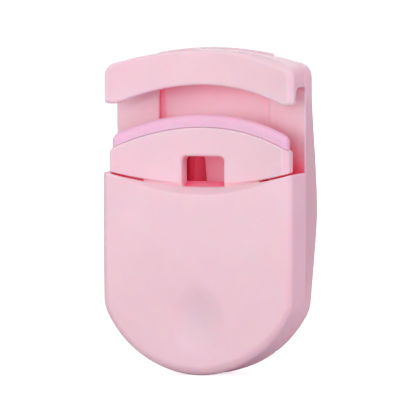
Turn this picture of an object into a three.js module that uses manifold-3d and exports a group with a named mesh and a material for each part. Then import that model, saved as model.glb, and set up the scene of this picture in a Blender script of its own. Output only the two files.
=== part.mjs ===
// Pocket eyelash curler, squeeze type, modelled open (lever out, jaw down).
// A fixed upper bar and two side columns belong to one frame moulding. A front cover closes the frame.
// A lever at the back swings on a steel pin under the roof. Two cam slots in its ribs lift a cross pin
// on the jaw's rear ears, so the jaw and its silicone pad slide up to the bar. Two coil springs push
// it back.
//
// Millimetres. +Z is up, the cover faces -Y, X runs along the bar. Y = 0 is the seam between cover and
// frame and Z = 0 the lowest point. The group is shifted along Y to centre the curler on the origin.

import * as THREE from 'three';
import { mergeVertices } from 'three/addons/utils/BufferGeometryUtils.js';
import Module from 'manifold-3d';

const wasm = await Module();
wasm.setup();

// ---------------------------------------------------------------- driving dimensions

const HALF_W = 21.4;            // half width of cover and frame
const COVER_DEPTH = 9.9;        // front face of the cover to the seam
const FRONT_Y = -COVER_DEPTH;
const SEAM = 0.1;               // open seam line between cover and frame
const WALL = 1.5;               // cover wall
const COVER_INNER_Y = FRONT_Y + WALL;
const BOTTOM_R = 22.8;          // big arc of the lower end
const CORNER_R = 8.0;           // blend between the straight side and the big arc
const CENTRE_SHIFT = -2.0;      // moves the bounding box's centre to Y = 0

const RECESS = 4.0;             // how far the middle of bar and jaw stand back, to follow the eye
const RECESS_HALF = 20.5;
const LASH_R = 44.0;            // clamping arc shared by bar, jaw and pad

const RIM_Z = 40.4;             // cover rim at the middle
const RIM_RISE = 3.2;           // and how much higher it is at the ends

const COLUMN_IN = 12.3;         // inner faces of the two columns

const HINGE_Y = 3.2;            // lever hinge axis
const HINGE_Z = 64.2;
const HINGE_PIN_R = 1.0;
const HINGE_PIN_HALF = 17.8;
const SQUEEZE_DEG = 7.5;        // lever stroke
const LIFT = 6.2;               // jaw stroke
const LEVER_HALF = 13.2;

const CAM_Y = 5.2;              // cross pin on the jaw, rest position
const CAM_Z = 28.0;
const CAM_PIN_R = 1.0;
const EAR_IN = 6.6;             // jaw's two ears
const EAR_OUT = 8.4;
const BORE_GAP = 0.03;          // radial play of the pins in frame and ears

const SPRING_X = 10.4;
const SPRING_Y = 0.9;
const LEDGE_Z = 37.0;           // underside of the frame's spring ledge
const FOOT_Z = 21.0;            // top of the jaw's spring foot
const SPIGOT_R = 0.75;
const SPIGOT_LENGTH = 2.2;
const SPIGOT_ROOT = 0.5;        // part of the spigot sunk in its ledge or foot

const SCREW_X = 8.6;
const SCREW_Z = 10.4;
const WEB_T = 1.6;              // frame's web that the screws go through

// base depth of the frame behind the seam, as [height, depth]
const REAR = [
  [0.0, 4.0], [5.0, 4.2], [10.0, 4.5], [15.0, 5.1], [18.0, 5.6], [21.0, 6.25], [24.0, 6.95],
  [27.5, 7.8], [30.7, 8.6], [33.5, 9.15], [36.0, 9.25], [39.0, 9.0], [42.0, 8.5], [46.7, 7.7],
  [50.0, 7.0], [54.0, 6.1], [58.0, 5.3], [61.0, 4.9], [66.2, 4.7], [70.0, 4.6],
];
const REAR_HEIGHTS = REAR.map(([height]) => height);

const SIDES = [-1, 1];
const FAR = 100;                // cutters run this far out, clear of every part
const QUARTER = Math.PI / 2;

// ---------------------------------------------------------------- curves and outlines

function spread(from, to, steps) {
  return Array.from({ length: steps + 1 }, (_, i) => from + ((to - from) * i) / steps);
}

const unitClamp = (value) => THREE.MathUtils.clamp(value, 0, 1);

// points on a circle about [centreU, centreV]
function arcPoints(centreU, centreV, radius, from, to, steps) {
  return spread(from, to, steps).map((angle) => [
    centreU + radius * Math.cos(angle),
    centreV + radius * Math.sin(angle),
  ]);
}

// REAR, read linearly between its stations
function rear(z) {
  const next = REAR.findIndex(([height]) => z <= height);
  if (next === 0) return REAR[0][1];
  if (next < 0) return REAR[REAR.length - 1][1];
  const [lowZ, lowDepth] = REAR[next - 1];
  const [highZ, highDepth] = REAR[next];
  return lowDepth + (highDepth - lowDepth) * ((z - lowZ) / (highZ - lowZ));
}

// how far a point of the bar or jaw stands back from the front plane
const recess = (x) => RECESS * Math.max(0, 1 - (x / RECESS_HALF) ** 2);

// height of an arc with its crown at crownZ
const arch = (x, crownZ, radius) => crownZ - (radius - Math.sqrt(radius * radius - x * x));

const rimZ = (x) => RIM_Z + RIM_RISE * (x / HALF_W) ** 2;

// right half of the outline shared by cover and frame, from sideTopZ down to the lowest point
function sideOutline(sideTopZ, inset) {
  const halfWidth = HALF_W - inset;
  const bigR = BOTTOM_R - inset;
  const blendR = CORNER_R - inset;
  // centre of the blend circle: tangent to the side line and inside the big circle
  const blendX = halfWidth - blendR;
  const blendZ = BOTTOM_R - Math.sqrt((bigR - blendR) ** 2 - blendX * blendX);
  const join = Math.atan2(blendZ - BOTTOM_R, blendX);   // from the big centre to the blend centre
  return [
    [halfWidth, sideTopZ],
    [halfWidth, blendZ],
    ...arcPoints(blendX, blendZ, blendR, 0, join, 8).slice(1),
    ...arcPoints(0, BOTTOM_R, bigR, join, -QUARTER, 14).slice(1),
  ];
}

// topEdge: points of the upper edge from left to right, without the two side ends
function fullOutline(inset, sideTopZ, topEdge = []) {
  const right = sideOutline(sideTopZ, inset);
  const left = right.slice(0, -1).map(([x, z]) => [-x, z]).reverse();
  return [...right, ...left, ...topEdge];
}

// ---------------------------------------------------------------- solids

// a closed solid from a geometry, with its vertices mapped and its faces turned outward
function toSolid(geometry, map = (x, y, z) => [x, y, z]) {
  for (const key of Object.keys(geometry.attributes)) {
    if (key !== 'position') geometry.deleteAttribute(key);
  }
  const position = geometry.attributes.position;
  for (let i = 0; i < position.count; i++) {
    position.setXYZ(i, ...map(position.getX(i), position.getY(i), position.getZ(i)));
  }
  const merged = mergeVertices(geometry, 1e-5);
  const vertices = new Float32Array(merged.attributes.position.array);
  const index = merged.index.array;
  const vertex = (i) => new THREE.Vector3().fromArray(vertices, 3 * i);
  const faces = [];
  let volume = 0;
  for (let i = 0; i < index.length; i += 3) {
    const [first, second, third] = index.slice(i, i + 3);
    if (first === second || second === third || first === third) continue;
    faces.push([first, second, third]);
    volume += vertex(first).dot(vertex(second).cross(vertex(third)));
  }
  const outward = volume < 0 ? faces.map(([first, second, third]) => [first, third, second]) : faces;
  return new wasm.Manifold(new wasm.Mesh({
    numProp: 3,
    vertProperties: vertices,
    triVerts: new Uint32Array(outward.flat()),
  }));
}

const shapeOf = (points) => new THREE.Shape(points.map(([u, v]) => new THREE.Vector2(u, v)));

function prism(points, length, map) {
  const options = { depth: length, bevelEnabled: false, steps: 1 };
  return toSolid(new THREE.ExtrudeGeometry(shapeOf(points), options), map);
}

// outline given as [y, z], run along X
function alongX(points, xMin, xMax) {
  return prism(points, xMax - xMin, (x, y, z) => [z + xMin, x, y]);
}

// outline given as [x, z], run along Y
function alongY(points, yMin, yMax) {
  return prism(points, yMax - yMin, (x, y, z) => [x, z + yMin, y]);
}

// outline given as [x, y], run along Z
function alongZ(points, zMin, zMax) {
  return prism(points, zMax - zMin, (x, y, z) => [x, y, z + zMin]);
}

// alongY with its front edge rounded
function alongYRounded(points, yMin, yMax, radius) {
  const geometry = new THREE.ExtrudeGeometry(shapeOf(points), {
    depth: yMax - yMin + 5,     // overlong: the rear bevel is cut off below
    steps: 1,
    bevelEnabled: true,
    bevelThickness: radius,
    bevelSize: radius,
    bevelOffset: -radius,
    bevelSegments: 3,
  });
  const body = toSolid(geometry, (x, y, z) => [x, z + yMin + radius, y]);
  return body.intersect(box(-FAR, FAR, yMin - 1, yMax, -FAR, FAR));
}

function box(xMin, xMax, yMin, yMax, zMin, zMax) {
  const geometry = new THREE.BoxGeometry(xMax - xMin, yMax - yMin, zMax - zMin);
  return toSolid(geometry, (x, y, z) => [
    x + (xMin + xMax) / 2,
    y + (yMin + yMax) / 2,
    z + (zMin + zMax) / 2,
  ]);
}

// [xMin, xMax] of a span given by its distances from the middle, on one side
const span = (side, near, far) => (side > 0 ? [near, far] : [-far, -near]);

// round bars along one axis, given the other two coordinates of the centre
function rodX(radius, xMin, xMax, centreY, centreZ, sides) {
  const geometry = new THREE.CylinderGeometry(radius, radius, xMax - xMin, sides);
  return toSolid(geometry, (x, y, z) => [y + (xMin + xMax) / 2, x + centreY, z + centreZ]);
}
function rodY(radius, yMin, yMax, centreX, centreZ, sides = 24) {
  const geometry = new THREE.CylinderGeometry(radius, radius, yMax - yMin, sides);
  return toSolid(geometry, (x, y, z) => [x + centreX, y + (yMin + yMax) / 2, z + centreZ]);
}
function rodZ(radius, zMin, zMax, centreX, centreY) {
  const geometry = new THREE.CylinderGeometry(radius, radius, zMax - zMin, 20);
  return toSolid(geometry, (x, y, z) => [x + centreX, z + centreY, y + (zMin + zMax) / 2]);
}

// solid swept along X: section(x) gives the same number of [y, z] points at every station
function loftX(stations, section) {
  const rings = stations.map((x) => section(x).map(([y, z]) => [x, y, z]));
  const count = rings[0].length;
  const last = rings.length - 1;
  const index = [];
  for (let i = 0; i < last; i++) {
    for (let k = 0; k < count; k++) {
      const here = i * count + k;
      const next = i * count + ((k + 1) % count);
      index.push(here, next, here + count, next, next + count, here + count);
    }
  }
  for (const end of [0, last]) {
    const contour = rings[end].map(([, y, z]) => new THREE.Vector2(y, z));
    const ringArea = THREE.ShapeUtils.area(contour);
    for (const face of THREE.ShapeUtils.triangulateShape(contour, [])) {
      const faceArea = THREE.ShapeUtils.area(face.map((i) => contour[i]));
      const sameTurn = faceArea * ringArea > 0;
      const [first, second, third] = face.map((i) => end * count + i);
      // the first ring's cap runs against the ring, the last ring's cap runs with it
      if (sameTurn === (end !== 0)) index.push(first, second, third);
      else index.push(first, third, second);
    }
  }
  const geometry = new THREE.BufferGeometry();
  geometry.setAttribute('position', new THREE.BufferAttribute(new Float32Array(rings.flat(2)), 3));
  geometry.setIndex(index);
  return toSolid(geometry);
}

// ---------------------------------------------------------------- front cover

const COVER_EDGE_R = 1.4;       // rounding of the cover's front edge
const SCOOP_HALF = 17.5;        // crescent scoop under the rim
const SCOOP_DEPTH = 2.6;
const SCOOP_LOW_Z = 38.8;
const SCOOP_END_RISE = 3.4;     // how much higher the scoop starts at its ends
const DIMPLE_Z = 11.8;          // oval thumb dimple
const DIMPLE_HALF_X = 4.9;
const DIMPLE_HALF_Z = 6.7;
const DIMPLE_DEPTH = 0.7;
const DIMPLE_BALL_R = 18;
const COVER_BOSS_R = 2.2;
const COVER_BORE_R = 0.9;
const TAB_SPAN = [18.3, 19.7];
const TAB_PROFILE = [[-3.0, 33.0], [2.2, 34.2], [2.2, 36.2], [-3.0, 37.4]];   // [y, z]

const scoopLowZ = (x) => SCOOP_LOW_Z + SCOOP_END_RISE * (x / SCOOP_HALF) ** 2;
const scoopDepth = (x) => SCOOP_DEPTH * Math.max(0, 1 - (x / SCOOP_HALF) ** 2);
const scoopLoft = (section) => loftX(spread(-SCOOP_HALF, SCOOP_HALF, 22), section);

// a wedge that deepens towards the rim's middle
function makeScoopCutter() {
  return scoopLoft((x) => {
    const depth = scoopDepth(x);
    const low = scoopLowZ(x);
    const high = rimZ(x);
    return [
      [FRONT_Y - 6, low - 2.0],
      [FRONT_Y - 0.01, low - 0.6],
      [FRONT_Y + 0.35 * depth, low + 0.25 * (high - low)],
      [FRONT_Y + 0.75 * depth, low + 0.6 * (high - low)],
      [FRONT_Y + depth, high],
      [FRONT_Y + depth, high + 6],
      [FRONT_Y - 6, high + 6],
    ];
  });
}

// part of the cavity left solid, so that the wall bows in behind the scoop
function makeScoopBacking() {
  return scoopLoft((x) => {
    const depth = scoopDepth(x);
    const low = scoopLowZ(x);
    const top = rimZ(x) + 3;
    return [
      [COVER_INNER_Y - 0.7, low - 5.0],
      [COVER_INNER_Y, low - 5.0],
      [COVER_INNER_Y + 0.2 * depth, low - 3.0],
      [COVER_INNER_Y + 0.7 * depth, low - 1.0],
      [COVER_INNER_Y + depth - 0.3, low + 0.6],
      [COVER_INNER_Y + depth - 0.3, top],
      [COVER_INNER_Y - 0.7, top],
    ];
  });
}

// a large ball, stretched so that it cuts an oval of the dimple's half widths
function makeDimpleCutter() {
  const ballR = DIMPLE_BALL_R;
  const cutR = Math.sqrt(ballR * ballR - (ballR - DIMPLE_DEPTH) ** 2);
  return toSolid(new THREE.SphereGeometry(1, 28, 18), (x, y, z) => [
    x * ballR * (DIMPLE_HALF_X / cutR),
    y * ballR + FRONT_Y - ballR + DIMPLE_DEPTH,
    z * ballR * (DIMPLE_HALF_Z / cutR) + DIMPLE_Z,
  ]);
}

function makeCover() {
  const rim = spread(-HALF_W, HALF_W, 20).slice(1, -1).map((x) => [x, rimZ(x)]);
  const outline = fullOutline(0, rimZ(HALF_W), rim);
  const outer = alongYRounded(outline, FRONT_Y, -SEAM, COVER_EDGE_R);
  const cavity = alongY(fullOutline(WALL, 60), COVER_INNER_Y, 5);
  let cover = outer.subtract(cavity.subtract(makeScoopBacking())).subtract(makeScoopCutter());
  cover = cover.subtract(makeDimpleCutter());
  for (const side of SIDES) {
    // screw boss
    const screwX = side * SCREW_X;
    cover = cover.add(rodY(COVER_BOSS_R, COVER_INNER_Y - 0.2, -0.3, screwX, SCREW_Z));
    cover = cover.subtract(rodY(COVER_BORE_R, COVER_INNER_Y + 0.6, 1, screwX, SCREW_Z));
    // tab that enters the column, and its root reaching into the side wall
    cover = cover.add(alongX(TAB_PROFILE, ...span(side, ...TAB_SPAN)));
    cover = cover.add(box(...span(side, 19.0, HALF_W - 1.0), -3.0, -0.4, 33.2, 37.2));
  }
  return cover;
}

// ---------------------------------------------------------------- frame

const BAR_TOP_Z = 69.7;         // crown of the bar
const BAR_TOP_R = 64.0;
const BAR_LOW_Z = 62.2;         // clamping edge at the middle
const BAR_END_Z = 58.1;         // flat lower corners of the bar
const BAR_CORNER_R = 2.2;
const LIP_T = 3.6;              // thickness of the bar's front lip
const ARM_LOW_Z = 61.4;         // underside of the side arms
const LIP_BACK_LOW_Z = ARM_LOW_Z + 0.6;
const ROOF_LOW_Z = 66.7;        // underside of the roof over the hinge
const ROOF_BACK_Y = 2.85;       // roof's rear edge between the columns
const ROOF_END_Y = 4.4;         // and over the columns

const COLUMN_TOP_Z = 66.2;
const COLUMN_TOP_R = 3.0;
const COLUMN_SIDE_TOP_Z = 62.6; // top end of the straight side
const COLUMN_HOLLOW = 3.6;      // how far the columns' front face curves back, measured at X = 0
const HOLLOW_LOW_Z = 42;
const CHEEK_LOW_Z = 60.8;       // above this the columns are full depth, to hold the hinge pin
const CHEEK_OUTER_RISE = 1.4;   // the hollow ends this much higher at the outer sides
const FLOOR_Z = 4.6;            // floor of the lever's opening
const REBATE = 1.1;             // step in the columns behind the lever's edges
const REBATE_HALF = LEVER_HALF + 0.4;
const WEB_LOW_Z = 3.0;
const WEB_TOP_Z = 17.0;
const WEB_BORE_R = 0.95;
const GUIDE_LOW_Z = 15.5;       // guides for the jaw's tongue
const GUIDE_TOP_Z = 36.0;
const GUIDE_OUT = 14.8;
const LEDGE_T = 2.0;
const LEDGE_Y = [-1.6, 3.3];

// the columns swell beyond the base depth, most at the belly
const columnSwell = (z) => 0.35 + 0.55 * Math.exp(-(((z - 36) / 18) ** 2));

// casing block: front outline, rear belly and plan shape together
function makeCasing(outline) {
  const heights = [-1, ...REAR_HEIGHTS, 72];
  const belly = [[-FAR, -1], ...heights.map((z) => [rear(z) + columnSwell(z), z]), [-FAR, 72]];
  // [x, y], the width tapering slightly to the rear
  const plan = [
    [-HALF_W, 0], [HALF_W, 0],
    [HALF_W - 0.04, 3.2], [HALF_W - 0.15, 12], [-HALF_W + 0.15, 12], [-HALF_W + 0.04, 3.2],
  ];
  return alongY(outline, 0, 12).intersect(alongX(belly, -30, 30)).intersect(alongZ(plan, -1, 80));
}

// the columns' front faces, between rim and hinge, follow the eye as well
function makeHollowCutter() {
  return loftX(spread(-HALF_W - 1, HALF_W + 1, 18), (x) => {
    const curve = COLUMN_HOLLOW * (1 - (x / (HALF_W - 0.05)) ** 2);
    const back = Math.max(0, curve) - 0.001;
    const top = CHEEK_LOW_Z + CHEEK_OUTER_RISE * unitClamp((Math.abs(x) - 16) / 3);
    return [[-5, HOLLOW_LOW_Z], [back, HOLLOW_LOW_Z], [back, top], [-5, top]];
  });
}

// rebate along the columns' rear edges, where the lever lands
function makeRebateCutter() {
  const step = REAR.filter(([z]) => z > 4).map(([z, depth]) => [depth - REBATE, z]);
  const outside = [[FAR, 70], [FAR, FLOOR_Z], [rear(FLOOR_Z) - REBATE, FLOOR_Z]];
  return alongX([...step, ...outside], -REBATE_HALF, REBATE_HALF);
}

const barTop = (x) => arch(x, BAR_TOP_Z, BAR_TOP_R);
const barLow = (x) => Math.max(arch(x, BAR_LOW_Z, LASH_R), BAR_END_Z);

function roofSection(x) {
  const front = FRONT_Y + recess(x) + LIP_T * 0.5;
  const under = ROOF_LOW_Z - (ROOF_LOW_Z - ARM_LOW_Z) * Math.abs(x / HALF_W) ** 3;
  const top = barTop(x);
  return [[front, under], [front, top], [ROOF_END_Y, top], [ROOF_END_Y, under]];
}

function lipSection(x) {
  const front = FRONT_Y + recess(x);
  const back = front + LIP_T;
  const top = barTop(x);
  const low = barLow(x);
  // the lower edge gets thinner towards the ends
  const thinning = 0.28 * Math.max(0, LIP_BACK_LOW_Z - low) * unitClamp((Math.abs(x) - 8) / 12);
  return [
    [front + 0.9, low],
    [front + 0.25, low + 0.3],
    [front, low + 1.0],
    [front, top - 1.8],
    [front + 0.55, top - 0.6],
    [front + 1.8, top],
    [back, top - 0.1],
    [back, Math.max(low + 0.7, LIP_BACK_LOW_Z)],
    [back - thinning, low + 0.5],
    [back - thinning - 0.5, low],
  ];
}

// roof and front lip, with their ends rounded as seen from the front
function makeBar() {
  const stations = spread(-HALF_W, HALF_W, 28);
  const cornerX = HALF_W - BAR_CORNER_R;
  const lowZ = BAR_END_Z + BAR_CORNER_R;
  const highZ = barTop(HALF_W) - BAR_CORNER_R + 0.15;
  const corner = (x, z, from) => arcPoints(x, z, BAR_CORNER_R, from, from + QUARTER, 5);
  const mask = [
    ...corner(cornerX, lowZ, -QUARTER),
    ...corner(cornerX, highZ, 0),
    [10, 75],
    [-10, 75],
    ...corner(-cornerX, highZ, QUARTER),
    ...corner(-cornerX, lowZ, Math.PI),
  ];
  const bar = loftX(stations, roofSection).add(loftX(stations, lipSection));
  return bar.intersect(alongY(mask, -20, 20));
}

// guides for the jaw's tongue, and a spring ledge with its spigot
function addGuides(frame, side) {
  const ledgeTop = LEDGE_Z + LEDGE_T;
  const blocks = [
    [COLUMN_IN, GUIDE_OUT, -3.1, 2.6, GUIDE_LOW_Z, GUIDE_TOP_Z],
    [13.4, GUIDE_OUT, -6.2, -3.0, GUIDE_LOW_Z, GUIDE_TOP_Z],
    [8.8, COLUMN_IN + 0.4, ...LEDGE_Y, LEDGE_Z, ledgeTop],
    [COLUMN_IN, GUIDE_OUT, ...LEDGE_Y, 35.0, ledgeTop],
  ];
  let result = frame;
  for (const [near, far, ...rest] of blocks) {
    result = result.add(box(...span(side, near, far), ...rest));
  }
  const spigotLow = LEDGE_Z - SPIGOT_LENGTH;
  return result.add(rodZ(SPIGOT_R, spigotLow, LEDGE_Z + SPIGOT_ROOT, side * SPRING_X, SPRING_Y));
}

function makeFrame() {
  const capX = HALF_W - COLUMN_TOP_R;
  const capZ = COLUMN_TOP_Z - COLUMN_TOP_R;
  const outline = fullOutline(0, COLUMN_SIDE_TOP_Z, [
    ...arcPoints(-capX, capZ, COLUMN_TOP_R, Math.PI, QUARTER, 5).slice(1),
    ...arcPoints(capX, capZ, COLUMN_TOP_R, QUARTER, 0, 5).slice(0, -1),
  ]);
  let body = makeCasing(outline).subtract(makeHollowCutter());
  // opening for the lever, from the floor up through the top
  body = body.subtract(box(-COLUMN_IN, COLUMN_IN, -5, FAR, FLOOR_Z, FAR));
  body = body.subtract(makeRebateCutter());
  // hollow the columns from the front, behind the cover, with a pocket for the cover's tab
  for (const side of SIDES) {
    body = body.subtract(box(...span(side, COLUMN_IN + 1.5, HALF_W - 1.6), -3, 3.4, 16, 32));
    body = body.subtract(box(...span(side, 17.9, 20.1), -3, 2.6, 32.5, 38));
  }
  body = body.add(makeBar());
  // room for the lever's boss under the roof, leaving a strip across its front upper edge
  const strip = box(-FAR, FAR, -1.1, -0.2, 66, 68);
  const room = box(-COLUMN_IN, COLUMN_IN, -1.0, FAR, 50, ROOF_LOW_Z);
  body = body.subtract(room.subtract(strip));
  // cut the roof back between the columns, a little wider at the top
  body = body.subtract(box(-COLUMN_IN, COLUMN_IN, ROOF_BACK_Y, FAR, 50, FAR));
  body = body.subtract(box(-REBATE_HALF, REBATE_HALF, ROOF_BACK_Y, FAR, 65.3, FAR));
  // web between the columns, low down, for the screws
  const web = box(-COLUMN_IN - 1, COLUMN_IN + 1, 0, WEB_T, WEB_LOW_Z, WEB_TOP_Z);
  body = body.add(web.intersect(alongY(outline, -1, 3)));
  for (const side of SIDES) {
    body = body.subtract(rodY(WEB_BORE_R, -2, 4, side * SCREW_X, SCREW_Z));
  }
  for (const side of SIDES) body = addGuides(body, side);
  // blind bores for the hinge pin
  const boreHalf = HINGE_PIN_HALF + 0.4;
  return body.subtract(rodX(HINGE_PIN_R + BORE_GAP, -boreHalf, boreHalf, HINGE_Y, HINGE_Z, 32));
}

// ---------------------------------------------------------------- jaw and pad

const JAW_LINE_Z = 53.1;        // jaw's top edge, where the pad starts
const HEAD_HALF = 20.0;
const HEAD_T = 4.5;
const TONGUE_HALF = 13.0;
const TONGUE_T = 3.2;
const TONGUE_Y = -5.85;         // tongue's front face at the middle
const TONGUE_BOW = 1.25;        // how much further forward it is at the sides
const TONGUE_LOW_Z = 19.0;
const TONGUE_TOP_Z = 45.0;
const WINDOW_HALF = 4.7;
const WINDOW_TOP_Z = 46.9;
const WINDOW_LOW_Z = 36.5;
const WINDOW_R = 1.2;
const SILL_Z = 40.15;
const SILL_RISE = 1.3;
const EAR_R = 2.2;
const EAR_FRONT_Y = -3.4;
const FOOT_T = 2.0;

const PAD_TOP_Z = 55.9;         // crown of the silicone pad
const PAD_HALF = 19.7;
const PAD_T = 3.6;
const PAD_GAP = 0.05;           // between jaw and pad
const PAD_FALL_X = 17.6;        // beyond this the pad drops to its ends
const PAD_END_FALL = 0.62;      // share of its height lost there

function headSection(x) {
  const front = FRONT_Y + recess(x) + 0.25 * Math.max(0, Math.abs(x) - 19);
  const back = front + HEAD_T;
  const top = arch(x, JAW_LINE_Z, LASH_R);
  const low = rimZ(x) + 0.35;
  return [
    [front, low + 0.4], [front, top - 0.5], [front + 0.4, top], [back - 0.5, top],
    [back, top - 0.5], [back, low + 0.3], [back - 0.3, low], [front + 0.3, low],
  ];
}

function tongueSection(x) {
  const front = TONGUE_Y - TONGUE_BOW * (x / TONGUE_HALF) ** 2;
  const back = front + TONGUE_T;
  return [
    [front, TONGUE_LOW_Z], [front, TONGUE_TOP_Z], [back, TONGUE_TOP_Z], [back, TONGUE_LOW_Z],
  ];
}

function windowOutline() {
  const cornerX = WINDOW_HALF - WINDOW_R;
  const lowZ = WINDOW_LOW_Z + WINDOW_R;
  const highZ = WINDOW_TOP_Z - WINDOW_R;
  const corner = (x, z, from) => arcPoints(x, z, WINDOW_R, from, from + QUARTER, 4);
  return [
    ...corner(cornerX, lowZ, -QUARTER),
    ...corner(cornerX, highZ, 0),
    ...corner(-cornerX, highZ, QUARTER),
    ...corner(-cornerX, lowZ, Math.PI),
  ];
}

// window sill, sloping down to the front
function sillSection(x) {
  const front = FRONT_Y + recess(x) + 0.3;
  const back = FRONT_Y + recess(x) + HEAD_T - 0.3;
  const low = WINDOW_LOW_Z - 0.4;
  return [[front, low], [front, SILL_Z], [back, SILL_Z + SILL_RISE], [back, low]];
}

function makeJaw() {
  let jaw = loftX(spread(-HEAD_HALF, HEAD_HALF, 26), headSection);
  jaw = jaw.add(loftX(spread(-TONGUE_HALF, TONGUE_HALF, 14), tongueSection));
  jaw = jaw.subtract(alongY(windowOutline(), -FAR, FAR));
  jaw = jaw.add(loftX([-WINDOW_HALF - 0.4, 0, WINDOW_HALF + 0.4], sillSection));
  // ear outline: slopes back from the tongue to a round end about the cam pin
  const ear = [
    [EAR_FRONT_Y, CAM_Z - 3.4],
    [CAM_Y - 0.4, CAM_Z - 2.2],
    ...arcPoints(CAM_Y, CAM_Z, EAR_R, -QUARTER + 0.15, QUARTER, 7),
    [EAR_FRONT_Y, CAM_Z + 5.0],
  ];
  for (const side of SIDES) {
    jaw = jaw.add(alongX(ear, ...span(side, EAR_IN, EAR_OUT)));
    // spring foot with a spigot
    jaw = jaw.add(box(...span(side, 8.0, 12.0), -4.2, 3.2, FOOT_Z - FOOT_T, FOOT_Z));
    const spigotTop = FOOT_Z + SPIGOT_LENGTH;
    jaw = jaw.add(rodZ(SPIGOT_R, FOOT_Z - SPIGOT_ROOT, spigotTop, side * SPRING_X, SPRING_Y));
  }
  const boreHalf = EAR_OUT + 1;
  return jaw.subtract(rodX(CAM_PIN_R + BORE_GAP, -boreHalf, boreHalf, CAM_Y, CAM_Z, 32));
}

function makePad() {
  const halfT = PAD_T / 2;
  const fullHeight = PAD_TOP_Z - JAW_LINE_Z - PAD_GAP;
  return loftX(spread(-PAD_HALF, PAD_HALF, 26), (x) => {
    const centre = FRONT_Y + recess(x) + HEAD_T / 2;
    const endFall = Math.max(0, (Math.abs(x) - PAD_FALL_X) / (PAD_HALF - PAD_FALL_X));
    const low = arch(x, JAW_LINE_Z, LASH_R) + PAD_GAP;
    const height = fullHeight * (1 - PAD_END_FALL * endFall * endFall);
    const crown = spread(Math.PI, 0, 8).map((angle) => [
      centre + halfT * Math.cos(angle),
      low + height * (0.35 + 0.65 * Math.sin(angle)),
    ]);
    return [[centre - halfT, low], ...crown, [centre + halfT, low]];
  });
}

// ---------------------------------------------------------------- lever

const LEVER_T = 1.6;
const LEVER_PROUD = 0.8;        // squeezed lever's back face stands this far behind the base depth
const LEVER_LOW_Z = 6.0;
const LEVER_TOP_Z = 70.0;
const LEVER_TOP_HALF = 12.4;    // narrower where it shows behind the roof
const LEVER_TOP_R = 66;         // crown of its top edge
const LEVER_CORNER_R = 5.5;     // rounded lower corners
const LEVER_FACE_LOW_Z = LEVER_LOW_Z - 1.4;
const BOSS_HALF = 11.9;         // lever's boss, between the columns' inner faces
const HINGE_BOSS_R = 2.1;
const SKIRT_IN = 10.8;          // lever's side skirts
const SKIRT_OUT = 12.0;
const RIB_IN = 4.3;             // lever's two ribs
const RIB_OUT = 6.1;
const CAM_SLOT_R = 1.15;

// skirt's front edge in the squeezed pose, clear of spring feet and ledges, as [y, z]
const SKIRT_FRONT = [[3.5, 8.5], [3.7, 17.6], [3.7, 46.0], [4.6, 54.0]];
const SKIRT_BACK_HEIGHTS = [54, 46, 39, 33.5, 27.5, 21, 15, 9.0];
// rib's lower, front and upper edge in the rest pose, as [y, z]
const RIB_FRONT = [
  [10.6, 22.0], [4.4, 24.6], [2.75, 26.4], [2.75, 30.0],
  [3.0, 36.0], [3.4, 44.0], [4.4, 48.5], [6.4, 51.5],
];
const RIB_BACK_HEIGHTS = [50, 46, 40, 35, 30, 25, 22];

// turn a point of the lever about the hinge axis; positive closes the curler
function swing([y, z], degrees) {
  const angle = THREE.MathUtils.degToRad(degrees);
  const fromY = y - HINGE_Y;
  const fromZ = z - HINGE_Z;
  return [
    HINGE_Y + fromY * Math.cos(angle) + fromZ * Math.sin(angle),
    HINGE_Z - fromY * Math.sin(angle) + fromZ * Math.cos(angle),
  ];
}

// from the squeezed pose to rest
const swingOpen = (point) => swing(point, -SQUEEZE_DEG);

// lever's plate at rest: `inset` in from its back face
const leverPoint = (z, inset) => swingOpen([rear(z) + LEVER_PROUD - inset, z]);

// rounded slot around a [y, z] path, as a closed outline
function slotOutline(path, radius) {
  const last = path.length - 1;
  const directions = path.map((_, i) => {
    const before = path[Math.max(0, i - 1)];
    const after = path[Math.min(last, i + 1)];
    const length = Math.hypot(after[0] - before[0], after[1] - before[1]);
    return [(after[0] - before[0]) / length, (after[1] - before[1]) / length];
  });
  const offset = (distance) => path.map(([y, z], i) => {
    const [dirY, dirZ] = directions[i];
    return [y + dirZ * distance, z - dirY * distance];
  });
  const cap = (i, turn) => {
    const facing = Math.atan2(directions[i][1], directions[i][0]) + turn;
    return arcPoints(...path[i], radius, facing - QUARTER, facing + QUARTER, 8).slice(1, -1);
  };
  return [...offset(radius), ...cap(last, 0), ...offset(-radius).reverse(), ...cap(0, Math.PI)];
}

// plate outline seen from the front or back: crowned top and rounded lower corners
function leverFace() {
  const cornerX = LEVER_HALF - LEVER_CORNER_R;
  const cornerZ = LEVER_FACE_LOW_Z + LEVER_CORNER_R;
  const crown = spread(LEVER_TOP_HALF, -LEVER_TOP_HALF, 10);
  return [
    ...arcPoints(cornerX, cornerZ, LEVER_CORNER_R, -QUARTER, 0, 6),
    [LEVER_HALF, 60.0],
    [LEVER_TOP_HALF, 62.6],
    ...crown.map((x) => [x, arch(x, LEVER_TOP_Z + 0.05, LEVER_TOP_R)]),
    [-LEVER_TOP_HALF, 62.6],
    [-LEVER_HALF, 60.0],
    ...arcPoints(-cornerX, cornerZ, LEVER_CORNER_R, Math.PI, 1.5 * Math.PI, 6),
  ];
}

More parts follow.
